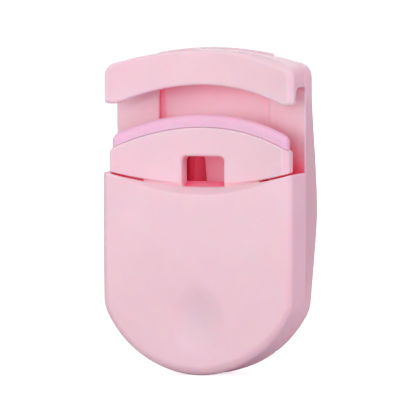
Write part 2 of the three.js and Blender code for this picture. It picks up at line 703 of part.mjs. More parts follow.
function makeLever() {
  // when squeezed the plate follows the frame's belly; at rest it is that profile swung out
  const belly = REAR_HEIGHTS.filter((z) => z > LEVER_LOW_Z + 1 && z < 60);
  const heights = [LEVER_LOW_Z, ...belly, 60.5, 63, LEVER_TOP_Z - 1.2];
  const outer = heights.map((z) => leverPoint(z, 0));
  const inner = heights.map((z) => leverPoint(z, LEVER_T));
  const profile = [
    ...inner.slice().reverse(),
    ...outer,
    [outer[outer.length - 1][0] - 0.5, LEVER_TOP_Z],
    [inner[inner.length - 1][0] + 0.3, LEVER_TOP_Z],
  ];
  const plate = alongX(profile, -LEVER_HALF, LEVER_HALF).intersect(alongY(leverFace(), -5, 40));

  // hinge boss with a short neck to the plate
  let lever = plate.add(rodX(HINGE_BOSS_R, -BOSS_HALF, BOSS_HALF, HINGE_Y, HINGE_Z, 28));
  lever = lever.add(box(-BOSS_HALF, BOSS_HALF, HINGE_Y, 5.6, HINGE_Z - 1.6, HINGE_Z + 1.5));

  const skirt = [
    ...SKIRT_FRONT.map(swingOpen),
    ...SKIRT_BACK_HEIGHTS.map((z) => leverPoint(z, LEVER_T * 0.5)),
  ];
  for (const side of SIDES) lever = lever.add(alongX(skirt, ...span(side, SKIRT_IN, SKIRT_OUT)));

  // ribs end inside the plate, beside its nearest profile point
  const insidePlate = (z) => {
    const gap = (point) => Math.abs(point[1] - z);
    const nearest = inner.reduce((best, point) => (gap(point) < gap(best) ? point : best));
    return [nearest[0] + LEVER_T * 0.5, z];
  };
  const rib = [...RIB_FRONT, ...RIB_BACK_HEIGHTS.map(insidePlate)];
  // path of the jaw's cross pin as seen from the lever
  const camPath = spread(0, 1, 10).map((t) => swing([CAM_Y, CAM_Z + LIFT * t], -SQUEEZE_DEG * t));
  const slot = slotOutline(camPath, CAM_SLOT_R);
  for (const side of SIDES) {
    const slotCutter = alongX(slot, ...span(side, RIB_IN - 1, RIB_OUT + 1));
    lever = lever.add(alongX(rib, ...span(side, RIB_IN, RIB_OUT)).subtract(slotCutter));
  }
  const boreHalf = LEVER_HALF + 1;
  return lever.subtract(rodX(HINGE_PIN_R + 0.06, -boreHalf, boreHalf, HINGE_Y, HINGE_Z, 32));
}

// ---------------------------------------------------------------- pins

function makeHingePin() {
  return rodX(HINGE_PIN_R, -HINGE_PIN_HALF, HINGE_PIN_HALF, HINGE_Y, HINGE_Z, 32);
}

function makeCamPin() {
  return rodX(CAM_PIN_R, -EAR_OUT - 0.1, EAR_OUT + 0.1, CAM_Y, CAM_Z, 32);
}

// ---------------------------------------------------------------- springs

const SPRING_R = 1.25;          // mean coil radius
const SPRING_WIRE_R = 0.2;
const SPRING_COILS = 8;
const SPRING_END_RISE = 0.46;   // small pitch of the first and last turn
const SPRING_END_GAP = 0.06;    // between the wire and its seat

class Coil extends THREE.Curve {
  constructor(centreX) {
    super();
    this.centreX = centreX;
  }

  getPoint(t, target = new THREE.Vector3()) {
    const seat = SPRING_WIRE_R + SPRING_END_GAP;
    const height = LEDGE_Z - FOOT_Z - 2 * seat;
    const endTurn = 1 / SPRING_COILS;
    let rise;
    if (t < endTurn) {
      rise = SPRING_END_RISE * (t / endTurn);
    } else if (t > 1 - endTurn) {
      rise = height - SPRING_END_RISE * ((1 - t) / endTurn);
    } else {
      const share = (t - endTurn) / (1 - 2 * endTurn);
      rise = SPRING_END_RISE + (height - 2 * SPRING_END_RISE) * share;
    }
    const angle = 2 * Math.PI * SPRING_COILS * t;
    return target.set(
      this.centreX + SPRING_R * Math.cos(angle),
      SPRING_Y + SPRING_R * Math.sin(angle),
      FOOT_Z + seat + rise,
    );
  }
}

function makeSpring(side) {
  const wire = arcPoints(0, 0, SPRING_WIRE_R, 0, 2 * Math.PI, 6).slice(0, -1);
  return toSolid(new THREE.ExtrudeGeometry(shapeOf(wire), {
    steps: SPRING_COILS * 13,
    bevelEnabled: false,
    extrudePath: new Coil(side * SPRING_X),
  }));
}

// ---------------------------------------------------------------- screws

const SHANK_R = 0.8;
const CROSS_HALF = 1.1;         // cross recess in the head
const CROSS_HALF_WIDTH = 0.22;
// screw head, as [radius, height above its seat]
const SCREW_HEAD = [[0, 0], [1.75, 0], [1.75, 0.55], [1.35, 1.0], [0.7, 1.2], [0, 1.25]];

// the head lies behind the web, facing the back
function makeScrew(side) {
  const screwX = side * SCREW_X;
  const shank = rodY(SHANK_R, COVER_INNER_Y + 1.2, WEB_T + 0.3, screwX, SCREW_Z, 18);
  const profile = SCREW_HEAD.map(([radius, height]) => new THREE.Vector2(radius, height));
  const head = toSolid(new THREE.LatheGeometry(profile, 20), (x, y, z) => [
    x + screwX,
    y + WEB_T + 0.05,
    z + SCREW_Z,
  ]);
  const recessBar = (halfX, halfZ) => box(
    screwX - halfX, screwX + halfX, WEB_T + 0.75, WEB_T + 3, SCREW_Z - halfZ, SCREW_Z + halfZ,
  );
  return shank
    .add(head)
    .subtract(recessBar(CROSS_HALF, CROSS_HALF_WIDTH))
    .subtract(recessBar(CROSS_HALF_WIDTH, CROSS_HALF));
}

// ---------------------------------------------------------------- materials

const material = (color, roughness, metalness) =>
  new THREE.MeshStandardMaterial({ color: new THREE.Color(color), roughness, metalness });

const FINISHES = {
  plastic: { color: 0xeec6d1, roughness: 0.45, metalness: 0 },      // cover and jaw
  plasticRear: { color: 0xecbfcc, roughness: 0.45, metalness: 0 },  // frame and lever
  silicone: { color: 0xf3c1da, roughness: 0.6, metalness: 0 },
  steel: { color: 0xb9bcc0, roughness: 0.3, metalness: 1 },
};

function makeMaterial(finish) {
  const { color, roughness, metalness } = FINISHES[finish];
  return material(color, roughness, metalness);
}

// ---------------------------------------------------------------- assembly

const curler = new THREE.Group();
curler.position.set(0, CENTRE_SHIFT, 0);

function put(name, solid, finish) {
  const { vertProperties, triVerts } = solid.getMesh();
  const geometry = new THREE.BufferGeometry();
  const positions = new Float32Array(vertProperties);
  geometry.setAttribute('position', new THREE.BufferAttribute(positions, 3));
  geometry.setIndex(new THREE.BufferAttribute(new Uint32Array(triVerts), 1));
  geometry.computeVertexNormals();
  const mesh = new THREE.Mesh(geometry, makeMaterial(finish));
  mesh.name = name;
  curler.add(mesh);
}

put('frame_body', makeFrame(), 'plasticRear');
put('front_cover', makeCover(), 'plastic');
put('jaw_carrier', makeJaw(), 'plastic');
put('silicone_pad', makePad(), 'silicone');
put('squeeze_lever', makeLever(), 'plasticRear');
put('lever_hinge_pin', makeHingePin(), 'steel');
put('jaw_cam_pin', makeCamPin(), 'steel');
put('return_spring_left', makeSpring(-1), 'steel');
put('return_spring_right', makeSpring(1), 'steel');
put('cover_screw_left', makeScrew(-1), 'steel');
put('cover_screw_right', makeScrew(1), 'steel');

export default curler;
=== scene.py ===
# Pocket eyelash curler: a casing (frame and front cover), a sliding jaw with its silicone pad,
# and a rear lever with pins, springs and screws.
# It stands on the floor at Z = 0. X runs across it, the front faces -Y, and Z is up.
# Each moulded piece is a distance field, negative inside, in millimetres with Y = 0 at the seam
# of cover and frame. It is turned into a mesh, pulled onto the exact surface and given the
# field's own normals, so that the fillets are real geometry.
import math

import bmesh
import bpy
import numpy as np
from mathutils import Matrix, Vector


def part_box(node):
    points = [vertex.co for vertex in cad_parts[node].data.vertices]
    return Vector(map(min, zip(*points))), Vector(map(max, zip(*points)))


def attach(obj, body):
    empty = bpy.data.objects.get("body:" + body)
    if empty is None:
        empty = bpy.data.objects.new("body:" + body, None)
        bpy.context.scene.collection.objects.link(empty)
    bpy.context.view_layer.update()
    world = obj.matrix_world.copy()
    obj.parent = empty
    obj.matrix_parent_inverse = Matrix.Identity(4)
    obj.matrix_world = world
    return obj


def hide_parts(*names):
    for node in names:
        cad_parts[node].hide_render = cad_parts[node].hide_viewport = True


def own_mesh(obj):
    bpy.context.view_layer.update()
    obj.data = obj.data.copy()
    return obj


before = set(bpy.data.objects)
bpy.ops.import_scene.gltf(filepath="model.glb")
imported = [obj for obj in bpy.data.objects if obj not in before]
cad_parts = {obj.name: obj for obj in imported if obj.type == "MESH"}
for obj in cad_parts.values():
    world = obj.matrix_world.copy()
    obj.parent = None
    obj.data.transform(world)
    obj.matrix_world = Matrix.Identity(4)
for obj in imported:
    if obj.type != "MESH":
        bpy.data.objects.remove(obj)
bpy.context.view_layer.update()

MM = 0.001


def cad_box(piece):
    """Low and high corner of a CAD piece, in millimetres."""
    low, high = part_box(piece)
    return np.array(low) / MM, np.array(high) / MM


cover_low, cover_high = cad_box("front_cover")
frame_low, frame_high = cad_box("frame_body")
jaw_low, jaw_high = cad_box("jaw_carrier")
pad_low, pad_high = cad_box("silicone_pad")
lever_low, lever_high = cad_box("squeeze_lever")

# ------------------------------------------------------------------ shared sizes, millimetres

HALF_W = (cover_high[0] - cover_low[0]) / 2
FRONT_Y = -9.9
SEAM_Y = cover_low[1] - FRONT_Y         # where the seam lies in the CAD's own Y
WALL = 1.5

# lower outline of cover and frame
BOTTOM_R = 22.8
CORNER_R = 8.0
FOOT_DRAW_IN = 0.22
FOOT_DRAW_Z, FOOT_DRAW_H = 9.0, 20.0    # height where the draw-in starts to fade, and over how much

# hollow of the bar and jaw, following the eye
RECESS, RECESS_HALF = 4.0, 20.5

# upper rim of the cover, and the thumb scoop below it
RIM_Z, RIM_RISE = 40.4, 3.2
SCOOP_DEPTH, SCOOP_HALF = 2.6, 18.0
SCOOP_LOW_Z, SCOOP_LOW_RISE, SCOOP_LOW_HALF = 38.8, 3.4, 17.5
SCOOP_THINNING = 0.3                    # wall lost behind the scoop

# upper bar, roof and columns of the frame
BAR_TOP_Z, BAR_TOP_R = frame_high[2], 64.0
CREASE_DEPTH = 2.5                      # crease along the bar's top, behind its face
COLUMN_IN = 12.3

# clamping line
LASH_R = 44.0
JAW_TOP_Z = jaw_high[2]
HEAD_HALF, HEAD_T = (jaw_high[0] - jaw_low[0]) / 2, 4.5
JAW_LOW_Z = jaw_low[2]
WINDOW_HALF = 4.7
PAD_TOP_Z = pad_high[2]
PAD_HALF, PAD_T = (pad_high[0] - pad_low[0]) / 2, 3.6

# lever
LEVER_HALF = (lever_high[0] - lever_low[0]) / 2
LEVER_T, LEVER_PROUD = 1.6, 0.8
LEVER_TOP_Z = 70.05
SQUEEZE_DEG = 7.5                       # turn of the squeezed lever
JAW_LIFT = 6.2                          # travel of the cam pin over that turn

# pins, springs and screws
HINGE_Y, HINGE_Z, HINGE_PIN_R = 3.2, 64.2, 1.0
CAM_Y, CAM_Z, CAM_PIN_R = 5.2, 28.0, 1.0
EAR_X = (6.6, 8.4)
SPRING_X, SPRING_Y = 10.4, 0.9
SPRING_PEG_R = 0.75
LEDGE_Z, LEDGE_T = 37.0, 2.0            # frame ledge above each spring
FOOT_Z, FOOT_T = 21.0, 2.0              # jaw foot below each spring
SCREW_X, SCREW_Z = 8.6, 10.4
WEB_T = 1.6

# back of the closed curler: height, Y
REAR = np.array([
    [0.0, 4.0], [5.0, 4.2], [10.0, 4.5], [15.0, 5.1], [18.0, 5.6], [21.0, 6.25], [24.0, 6.95],
    [27.5, 7.8], [30.7, 8.6], [33.5, 9.15], [36.0, 9.25], [39.0, 9.0], [42.0, 8.5], [46.7, 7.7],
    [50.0, 7.0], [54.0, 6.1], [58.0, 5.3], [61.0, 4.9], [66.2, 4.7], [70.0, 4.6],
])

# ------------------------------------------------------------------ distance field tools
# The last argument of meet, join and cut is the radius given to the new edge.


def meet(first, second, radius):
    """Intersection with a rounded edge."""
    radius = np.asarray(radius, float)
    if not np.any(radius > 0):
        return np.maximum(first, second)
    u = np.maximum(first + radius, 0)
    v = np.maximum(second + radius, 0)
    return np.minimum(-radius, np.maximum(first, second)) + np.sqrt(u * u + v * v)


def join(first, second, radius):
    """Union with a filleted corner."""
    return -meet(-first, -second, radius)


def cut(body, tool, radius):
    """The body without the tool, the edge rounded."""
    return meet(body, -tool, radius)


def between(value, span):
    """Distance outside a slab."""
    return np.abs(value - (span[0] + span[1]) / 2) - (span[1] - span[0]) / 2


def round_corner(u, v, radius):
    """Quarter-round corner, from the distances past its centre on two axes."""
    outside = np.sqrt(np.maximum(u, 0) ** 2 + np.maximum(v, 0) ** 2)
    return outside + np.minimum(np.maximum(u, v), 0) - radius


def box(x, y, z, x_span, y_span, z_span, radius=0.0):
    past = []
    for value, (low, high) in zip((x, y, z), (x_span, y_span, z_span)):
        past.append(np.abs(value - (low + high) / 2) - ((high - low) / 2 - radius))
    u, v, w = past
    outside = np.sqrt(np.maximum(u, 0) ** 2 + np.maximum(v, 0) ** 2 + np.maximum(w, 0) ** 2)
    return outside + np.minimum(np.maximum(u, np.maximum(v, w)), 0) - radius


def rod(u, v, along, radius, span, edge=0.0):
    """Rod around the third coordinate, its ends rounded by the edge radius."""
    return meet(np.sqrt(u * u + v * v) - radius, between(along, span), edge)


def linear(value, start, length):
    """Straight rise from 0 to 1."""
    return np.clip((value - start) / length, 0, 1)


def smooth(t):
    """Rise from 0 to 1, level at both ends."""
    t = np.clip(t, 0, 1)
    return t * t * (3 - 2 * t)


def fade(value, start, end):
    return smooth((value - start) / (end - start))


def soft_ramp(t, softness):
    """0 below 0, then a straight rise to 1, with soft ends."""
    start = np.sqrt(t * t + softness * softness) + t
    end = np.sqrt((t - 1) ** 2 + softness * softness) + (t - 1)
    return (start - end) / 2


def parabola(x, depth, half):
    """Hollow that is deepest at x = 0 and ends at the half width."""
    return depth * np.maximum(0, 1 - (x / half) ** 2)


def above_arch(x, z, crown, radius):
    """Distance above an arch with its crown at that height."""
    return np.sqrt(x * x + (z - (crown - radius)) ** 2) - radius


def polyline(u, v, points):
    """Distance from a line through points in the plane."""
    nearest = np.inf
    for start, end in zip(points[:-1], points[1:]):
        du, dv = end[0] - start[0], end[1] - start[1]
        from_u, from_v = u - start[0], v - start[1]
        t = np.clip((from_u * du + from_v * dv) / (du * du + dv * dv), 0, 1)
        nearest = np.minimum(nearest, (from_u - t * du) ** 2 + (from_v - t * dv) ** 2)
    return np.sqrt(nearest)


def polygon(u, v, points):
    """Signed distance from a closed polygon in the plane, without edges of constant v."""
    closed = points + points[:1]
    inside = False
    for p, q in zip(closed[:-1], closed[1:]):
        crossing = (q[0] - p[0]) * (v - p[1]) / (q[1] - p[1]) + p[0]
        inside = inside ^ (((p[1] > v) != (q[1] > v)) & (u < crossing))
    return np.where(inside, -1.0, 1.0) * polyline(u, v, closed)


# ------------------------------------------------------------------ shared curves
# Functions named *_stretch give the gradient length that turns an offset into a distance.


def smooth_table(table, sigma, pitch=0.1, reach=60):
    """Heights, gaussian-smoothed values and slopes of a table of stations."""
    heights = np.arange(-20, 100, pitch)
    values = np.interp(heights, table[:, 0], table[:, 1])
    kernel = np.exp(-0.5 * (np.arange(-reach, reach + 1) * pitch / sigma) ** 2)
    kernel /= kernel.sum()
    values = np.convolve(np.pad(values, reach, mode="edge"), kernel, mode="valid")
    return heights, values, np.gradient(values, heights)


REAR_HEIGHTS, REAR_VALUES, REAR_SLOPES = smooth_table(REAR, 1.6)


def rear(z):
    return np.interp(z, REAR_HEIGHTS, REAR_VALUES)


def rear_stretch(z):
    return np.sqrt(1 + np.interp(z, REAR_HEIGHTS, REAR_SLOPES) ** 2)


def recess(x):
    return parabola(x, RECESS, RECESS_HALF)


def recess_stretch(x):
    slope = np.where(np.abs(x) < RECESS_HALF, -2 * RECESS * x / RECESS_HALF ** 2, 0)
    return np.sqrt(1 + slope * slope)


def rim_z(x):
    return RIM_Z + RIM_RISE * (x / HALF_W) ** 2


def above_rim(x, z):
    slope = 2 * RIM_RISE * x / HALF_W ** 2
    return (z - rim_z(x)) / np.sqrt(1 + slope * slope)


def swell(z):
    """The long sides draw in towards the foot."""
    return FOOT_DRAW_IN * (smooth((z - FOOT_DRAW_Z) / FOOT_DRAW_H) - 1)


def outline(x, z, inset=0.0):
    """Distance from the lower outline: straight sides, corner blend, big arc."""
    side = np.abs(x) - swell(z)
    half, big, blend = HALF_W - inset, BOTTOM_R - inset, CORNER_R - inset
    centre_x = half - blend
    centre_z = BOTTOM_R - math.sqrt((big - blend) ** 2 - centre_x * centre_x)
    ray = math.atan2(centre_z - BOTTOM_R, centre_x)
    dx, dz = side - centre_x, z - centre_z
    straight = side - half
    corner = np.sqrt(dx * dx + dz * dz) - blend
    arc = np.sqrt(side * side + (z - BOTTOM_R) ** 2) - big
    # below the ray from the big arc's centre through the blend's centre
    below = (side * math.sin(ray) - (z - BOTTOM_R) * math.cos(ray)) > 0
    lower = np.where(below, arc, np.where(dx > 0, corner, np.maximum(arc, straight)))
    return np.where(z > centre_z, straight, lower)


def swing(y, z, degrees):
    """Turn a point about the hinge."""
    angle = math.radians(degrees)
    dy, dz = y - HINGE_Y, z - HINGE_Z
    return (HINGE_Y + dy * math.cos(angle) + dz * math.sin(angle),
            HINGE_Z - dy * math.sin(angle) + dz * math.cos(angle))


# ------------------------------------------------------------------ front cover

COVER_EDGE_R = 1.4
COVER_FOOT_R, COVER_FOOT_H = 1.2, 16.0   # extra edge radius at the foot, and the height it fades over
COVER_TAPER, TAPER_X = 0.045, 12.0       # widening towards the front, on the +X side only
DIMPLE_Z, DIMPLE_HALF_X, DIMPLE_HALF_Z, DIMPLE_DEPTH = 11.8, 6.2, 8.4, 0.9
BACK_STEP_DROP, BACK_STEP_H = 4.5, 4.6   # step of the inner face, below the scoop's lower edge
SCREW_BOSS_R, SCREW_BORE_R = 2.2, 0.9
TAB_X, TAB_HALF_T = 19.0, 0.7            # snap tabs reaching behind the seam


def scoop_low(x):
    return SCOOP_LOW_Z + SCOOP_LOW_RISE * (x / SCOOP_LOW_HALF) ** 2


def scoop_depth(x):
    return SCOOP_DEPTH * np.clip(1 - (x / SCOOP_HALF) ** 2, 0, 1)


def cover_front(x, z):
    """Y of the outer face."""
    low, high = scoop_low(x), rim_z(x)
    y = FRONT_Y + scoop_depth(x) * soft_ramp((z - low) / (high - low), 0.10)
    dimple = (x / DIMPLE_HALF_X) ** 2 + ((z - DIMPLE_Z) / DIMPLE_HALF_Z) ** 2
    return y + DIMPLE_DEPTH * np.clip(1 - dimple, 0, 1) ** 2


def cover_front_stretch(x, z, offset=0.05):
    along_x = (cover_front(x + offset, z) - cover_front(x - offset, z)) / (2 * offset)
    along_z = (cover_front(x, z + offset) - cover_front(x, z - offset)) / (2 * offset)
    return np.sqrt(1 + along_x * along_x + along_z * along_z)


def cover_inner(x, z):
    """Y of the inner face."""
    rise = smooth((z - (scoop_low(x) - BACK_STEP_DROP)) / BACK_STEP_H)
    depth = scoop_depth(x)
    return FRONT_Y + WALL + (depth - SCOOP_THINNING * depth / SCOOP_DEPTH) * rise


def cover_field(x, y, z):
    sides = outline(x, z) - COVER_TAPER * np.minimum(y, 0) * linear(x, 0, TAPER_X)
    front = (cover_front(x, z) - y) / cover_front_stretch(x, z)
    foot = linear(COVER_FOOT_H - z, 0, COVER_FOOT_H)
    body = meet(sides, front, COVER_EDGE_R + COVER_FOOT_R * foot * foot)
    body = meet(body, y + 0.1, 0.25)
    cavity = meet(outline(x, z, WALL), cover_inner(x, z) - y, 0.8)
    shell = cut(body, cavity, 0.25)
    shell = meet(shell, above_rim(x, z), 0.42)
    for sign in (-1, 1):
        side = sign * x
        boss = rod(side - SCREW_X, z - SCREW_Z, y, SCREW_BOSS_R, (FRONT_Y + 1.0, -0.3), 0.2)
        shell = join(shell, boss, 0.4)
        bore = rod(side - SCREW_X, z - SCREW_Z, y, SCREW_BORE_R, (FRONT_Y + WALL + 0.6, 3))
        shell = cut(shell, bore, 0.12)
        tab_x = (TAB_X - TAB_HALF_T, TAB_X + TAB_HALF_T)
        tab = box(side, y, z, tab_x, (-3.0, 2.2), (34.0, 36.4), 0.2)
        root = box(side, y, z, (18.9, HALF_W - 1.0), (-3.0, -0.4), (33.2, 37.2), 0.2)
        shell = np.minimum(shell, np.minimum(tab, root))
    return shell


# ------------------------------------------------------------------ frame

FRAME_GROW = 0.10                        # outside the cover's outline
FRAME_DRAFT = 0.012                      # narrowing per millimetre towards the back
BACK_OFFSET = 0.35                       # back face behind the rear curve
BELLY, BELLY_Z, BELLY_SPREAD = 0.55, 36.0, 18.0
COLUMN_TOP_Z = 66.2
CHANNEL_LOW_Z = 4.6                      # lower end of the channel and the lever's rebate
FACE_SCOOP = 3.6                         # hollow of the columns' front between rim and hinge
CHEEK_LOW_Z = 60.8
BAR_LOW_Z, BAR_LOW_R, BAR_END_Z = 62.2, 44.0, 58.1
BAR_BACK_Y = 4.45
CREASE_R, CREASE_HALF = 0.36, 18.2
LIP_T = 3.6
ARM_LOW_Z = 61.4
ROOF_LOW_Z, ROOF_BACK_Y = 66.7, 2.85
LEVER_GAP = 0.4
REBATE = 1.1
GUIDE_X = (COLUMN_IN, 14.8)              # guide rail inside each column
GUIDE_Z = (15.5, 36.0)
GUIDE_LIP_X = 13.4
LEDGE_Y = (-1.6, 3.3)
WEB_TOP_Z = 17.0


def bar_low(x):
    """Height of the clamping edge, with the flat lower corners."""
    z = BAR_LOW_Z - (BAR_LOW_R - np.sqrt(np.maximum(BAR_LOW_R ** 2 - x * x, 1)))
    softness = 0.12
    return (z + BAR_END_Z + np.sqrt((z - BAR_END_Z) ** 2 + softness * softness)) / 2


def bar_low_stretch(x, offset=0.05):
    slope = (bar_low(x + offset) - bar_low(x - offset)) / (2 * offset)
    return np.sqrt(1 + slope * slope)


def roof_under(x):
    return ROOF_LOW_Z - (ROOF_LOW_Z - ARM_LOW_Z) * (np.abs(x) / HALF_W) ** 3


def frame_block(x, y, z, sides, draft):
    """Casing block with its belly, the channel open to front and back."""
    side = np.abs(x)
    belly = BELLY * np.exp(-((z - BELLY_Z) / BELLY_SPREAD) ** 2)
    back = (y - rear(z) - BACK_OFFSET - belly) / rear_stretch(z)
    block = meet(sides, back, 0.6)
    upright = side + draft - swell(z) - HALF_W - FRAME_GROW
    block = meet(block, meet(z - COLUMN_TOP_Z, upright, 3.0), 1.0)
    # flat at the seam and at the cheeks, hollow between them
    hollow = parabola(x, FACE_SCOOP, HALF_W - 0.05)
    above_seam = linear(z, 40.5, 1.5)
    cheek = linear(z, CHEEK_LOW_Z - 0.6 + 1.8 * linear(side, 16.0, 3.0), 0.6)
    front_y = hollow * above_seam * (1 - cheek)
    block = meet(block, (front_y - y) / recess_stretch(x), 0.3)
    channel = meet(np.maximum(side - COLUMN_IN, CHANNEL_LOW_Z - z), -6 - y, 0)
    return cut(block, channel, 0.35)


def frame_bar(x, y, z):
    """Bar, arms and roof."""
    side = np.abs(x)
    face_y = FRONT_Y + recess(x)
    stretch = recess_stretch(x)
    top = above_arch(x, z, BAR_TOP_Z, BAR_TOP_R)
    # the ends narrow more on the -X side
    face = meet(top, side - HALF_W + np.where(x > 0, 0.25, 0.5) * linear(side, 0, 15.0), 1.8)
    low = (bar_low(x) - z) / bar_low_stretch(x)
    front = (face_y - y) / stretch
    slab = meet(face, front, 0.3)
    # soft chamfer along top and ends, broader towards +X
    broader = smooth((x - 1.0) / 20.0)
    slab = meet(slab, (face + front + 0.2 + 0.95 * broader) * 0.70711, 0.25)
    # crisp lower edge, softer at the ends
    slab = meet(slab, low, 0.55 + 0.4 * linear(side, 17.0, 3.0))
    slab = meet(slab, y - BAR_BACK_Y, 0.6)
    crease = np.sqrt(top * top + (y - face_y - CREASE_DEPTH) ** 2 / stretch ** 2) - CREASE_R
    slab = cut(slab, np.maximum(crease, side - CREASE_HALF), 0.08)
    # hollow behind the lip, which thins downwards near its ends
    thinning = 0.28 * np.maximum(0, ARM_LOW_Z + 0.6 - z) * linear(side, 8.0, 12.0)
    lip_back = face_y + LIP_T - thinning
    void = meet(z - roof_under(x), (lip_back - y) / stretch, 1.2)
    void = meet(void, y - 1.0, 0.2)
    return cut(slab, void, 0.45)


def frame_field(x, y, z):
    side = np.abs(x)
    draft = FRAME_DRAFT * np.maximum(y, 0)
    sides = outline(x, z) + draft - FRAME_GROW
    body = join(frame_block(x, y, z, sides, draft), frame_bar(x, y, z), 1.1)
    body = meet(body, 0.01 - z, 0.15)
    # hinge room under the roof, and the openings behind it
    room = box(x, y, z, (-COLUMN_IN, COLUMN_IN), (-1.0, 25), (45, ROOF_LOW_Z))
    body = cut(body, room, 0.25)
    beside_lever = side - LEVER_HALF - LEVER_GAP
    behind_roof = ROOF_BACK_Y - y
    body = cut(body, np.maximum(np.maximum(beside_lever, behind_roof), 65.3 - z), 0.3)
    body = cut(body, np.maximum(np.maximum(side - COLUMN_IN, behind_roof), 50 - z), 0.0)
    # rebate for the lever's edges
    rebate = np.maximum(np.maximum(beside_lever, (rear(z) - REBATE - y)), CHANNEL_LOW_Z - z)
    body = cut(body, rebate, 0.25)
    for sign in (-1, 1):
        # hollow in the column behind the cover, and the pocket of the cover's tab
        hollow_x = (COLUMN_IN + 1.5, HALF_W - 1.6)
        body = cut(body, box(sign * x, y, z, hollow_x, (-3, 3.4), (16, 32), 0.4), 0.2)
        body = cut(body, box(sign * x, y, z, (17.9, 20.1), (-3, 2.6), (32.5, 38), 0.2), 0.0)
    # web between the columns that carries the screws
    web = box(x, y, z, (-COLUMN_IN - 1, COLUMN_IN + 1), (0.05, WEB_T), (3.0, WEB_TOP_Z), 0.2)
    body = join(body, meet(web, sides + 0.05, 0.1), 0.4)
    for sign in (-1, 1):
        side = sign * x
        body = cut(body, rod(side - SCREW_X, z - SCREW_Z, y, 0.95, (-2, 4)), 0.15)
        # guide rail and its forward lip
        body = join(body, box(side, y, z, GUIDE_X, (-3.1, 2.6), GUIDE_Z, 0.2), 0.2)
        lip = box(side, y, z, (GUIDE_LIP_X, GUIDE_X[1]), (-6.2, -2.7), GUIDE_Z, 0.2)
        body = np.minimum(body, lip)
        # spring ledge, its root in the column and its peg
        top_z = LEDGE_Z + LEDGE_T
        ledge = box(side, y, z, (8.8, COLUMN_IN + 0.4), LEDGE_Y, (LEDGE_Z, top_z), 0.2)
        body = join(body, ledge, 0.2)
        body = np.minimum(body, box(side, y, z, GUIDE_X, LEDGE_Y, (35.0, top_z), 0.2))
        peg_z = (LEDGE_Z - 2.2, LEDGE_Z + 0.5)
        peg = rod(side - SPRING_X, y - SPRING_Y, z, SPRING_PEG_R, peg_z, 0.2)
        body = np.minimum(body, peg)
    bore = rod(y - HINGE_Y, z - HINGE_Z, x, HINGE_PIN_R + 0.03, (-18.2, 18.2))
    return cut(body, bore, 0.0)


# ------------------------------------------------------------------ sliding jaw

TONGUE_HALF, TONGUE_T, TONGUE_TOP_Z = 13.0, 3.2, 45.0
WINDOW_LOW_Z, WINDOW_TOP_Z, WINDOW_R = 36.5, 46.9, 1.1
SILL_Z, SILL_SLOPE = 40.15, 0.33
EAR_ROOT_Y, EAR_R = -3.4, 2.2

# side view of an ear: root, then round the cam pin (Y, Z)
EAR_OUTLINE = [(EAR_ROOT_Y, CAM_Z - 3.4), (CAM_Y - 0.4, CAM_Z - EAR_R)]
for ear_angle in np.linspace(-math.pi / 2 + 0.15, math.pi / 2, 8):
    EAR_OUTLINE.append((CAM_Y + EAR_R * math.cos(ear_angle), CAM_Z + EAR_R * math.sin(ear_angle)))
EAR_OUTLINE.append((EAR_ROOT_Y, CAM_Z + 5.0))


def jaw_head(x, y, z, face_y):
    side = np.abs(x)
    stretch = recess_stretch(x)
    front = (face_y - y) / stretch
    top = above_arch(x, z, JAW_TOP_Z, LASH_R)
    head = meet(meet(top, side - HEAD_HALF, 0.6), -above_rim(x, z - 0.38), 0.45)
    head = meet(head, front, 0.4)
    # chamfer of the ends, smaller towards -X
    chamfer = (side - HEAD_HALF + front) * 0.70711 + 0.3 + 0.75 * linear(x, 0, 20.0)
    head = meet(head, chamfer, 0.25)
    return meet(head, (y - face_y - HEAD_T) / stretch, 0.5)


def jaw_tongue(x, y, z, face_y):
    """Plate that slides behind the cover."""
    behind_cover = (FRONT_Y + WALL
                    + scoop_depth(x) * (1 - SCOOP_THINNING / SCOOP_DEPTH) + 0.24)
    front_y = np.maximum(face_y + 0.02, behind_cover)
    thickness = np.abs(y - front_y - TONGUE_T / 2) - TONGUE_T / 2
    plate = meet(np.abs(x) - TONGUE_HALF, thickness, 0.3)
    return meet(plate, meet(z - TONGUE_TOP_Z, JAW_LOW_Z - z, 0), 0.3)


def jaw_window(x, z):
    mid_z, half_z = (WINDOW_LOW_Z + WINDOW_TOP_Z) / 2, (WINDOW_TOP_Z - WINDOW_LOW_Z) / 2
    across = np.abs(x) - (WINDOW_HALF - WINDOW_R)
    return round_corner(across, np.abs(z - mid_z) - (half_z - WINDOW_R), WINDOW_R)


def jaw_field(x, y, z):
    face_y = FRONT_Y + recess(x)
    jaw = join(jaw_head(x, y, z, face_y), jaw_tongue(x, y, z, face_y), 0.15)
    jaw = cut(jaw, jaw_window(x, z), 0.65)
    # sill across the window, rising towards the back
    sill_sides = np.maximum(36.0 - z, np.maximum(face_y + 0.25 - y, y - face_y - 4.3))
    sill = meet(z - SILL_Z - SILL_SLOPE * (y - face_y - 0.3), sill_sides, 0.15)
    jaw = np.minimum(jaw, np.maximum(sill, np.abs(x) - WINDOW_HALF - 0.4))
    for sign in (-1, 1):
        side = sign * x
        ear = meet(polygon(y, z, EAR_OUTLINE), between(side, EAR_X), 0.2)
        jaw = join(jaw, ear, 0.4)
        # spring foot and its peg
        foot = box(side, y, z, (8.0, 12.0), (-4.2, 3.2), (FOOT_Z - FOOT_T, FOOT_Z), 0.25)
        jaw = join(jaw, foot, 0.3)
        peg_z = (FOOT_Z - 0.5, FOOT_Z + 2.2)
        jaw = np.minimum(jaw, rod(side - SPRING_X, y - SPRING_Y, z, SPRING_PEG_R, peg_z, 0.2))
    return cut(jaw, rod(y - CAM_Y, z - CAM_Z, x, CAM_PIN_R + 0.03, (-20, 20)), 0.0)


# ------------------------------------------------------------------ silicone pad


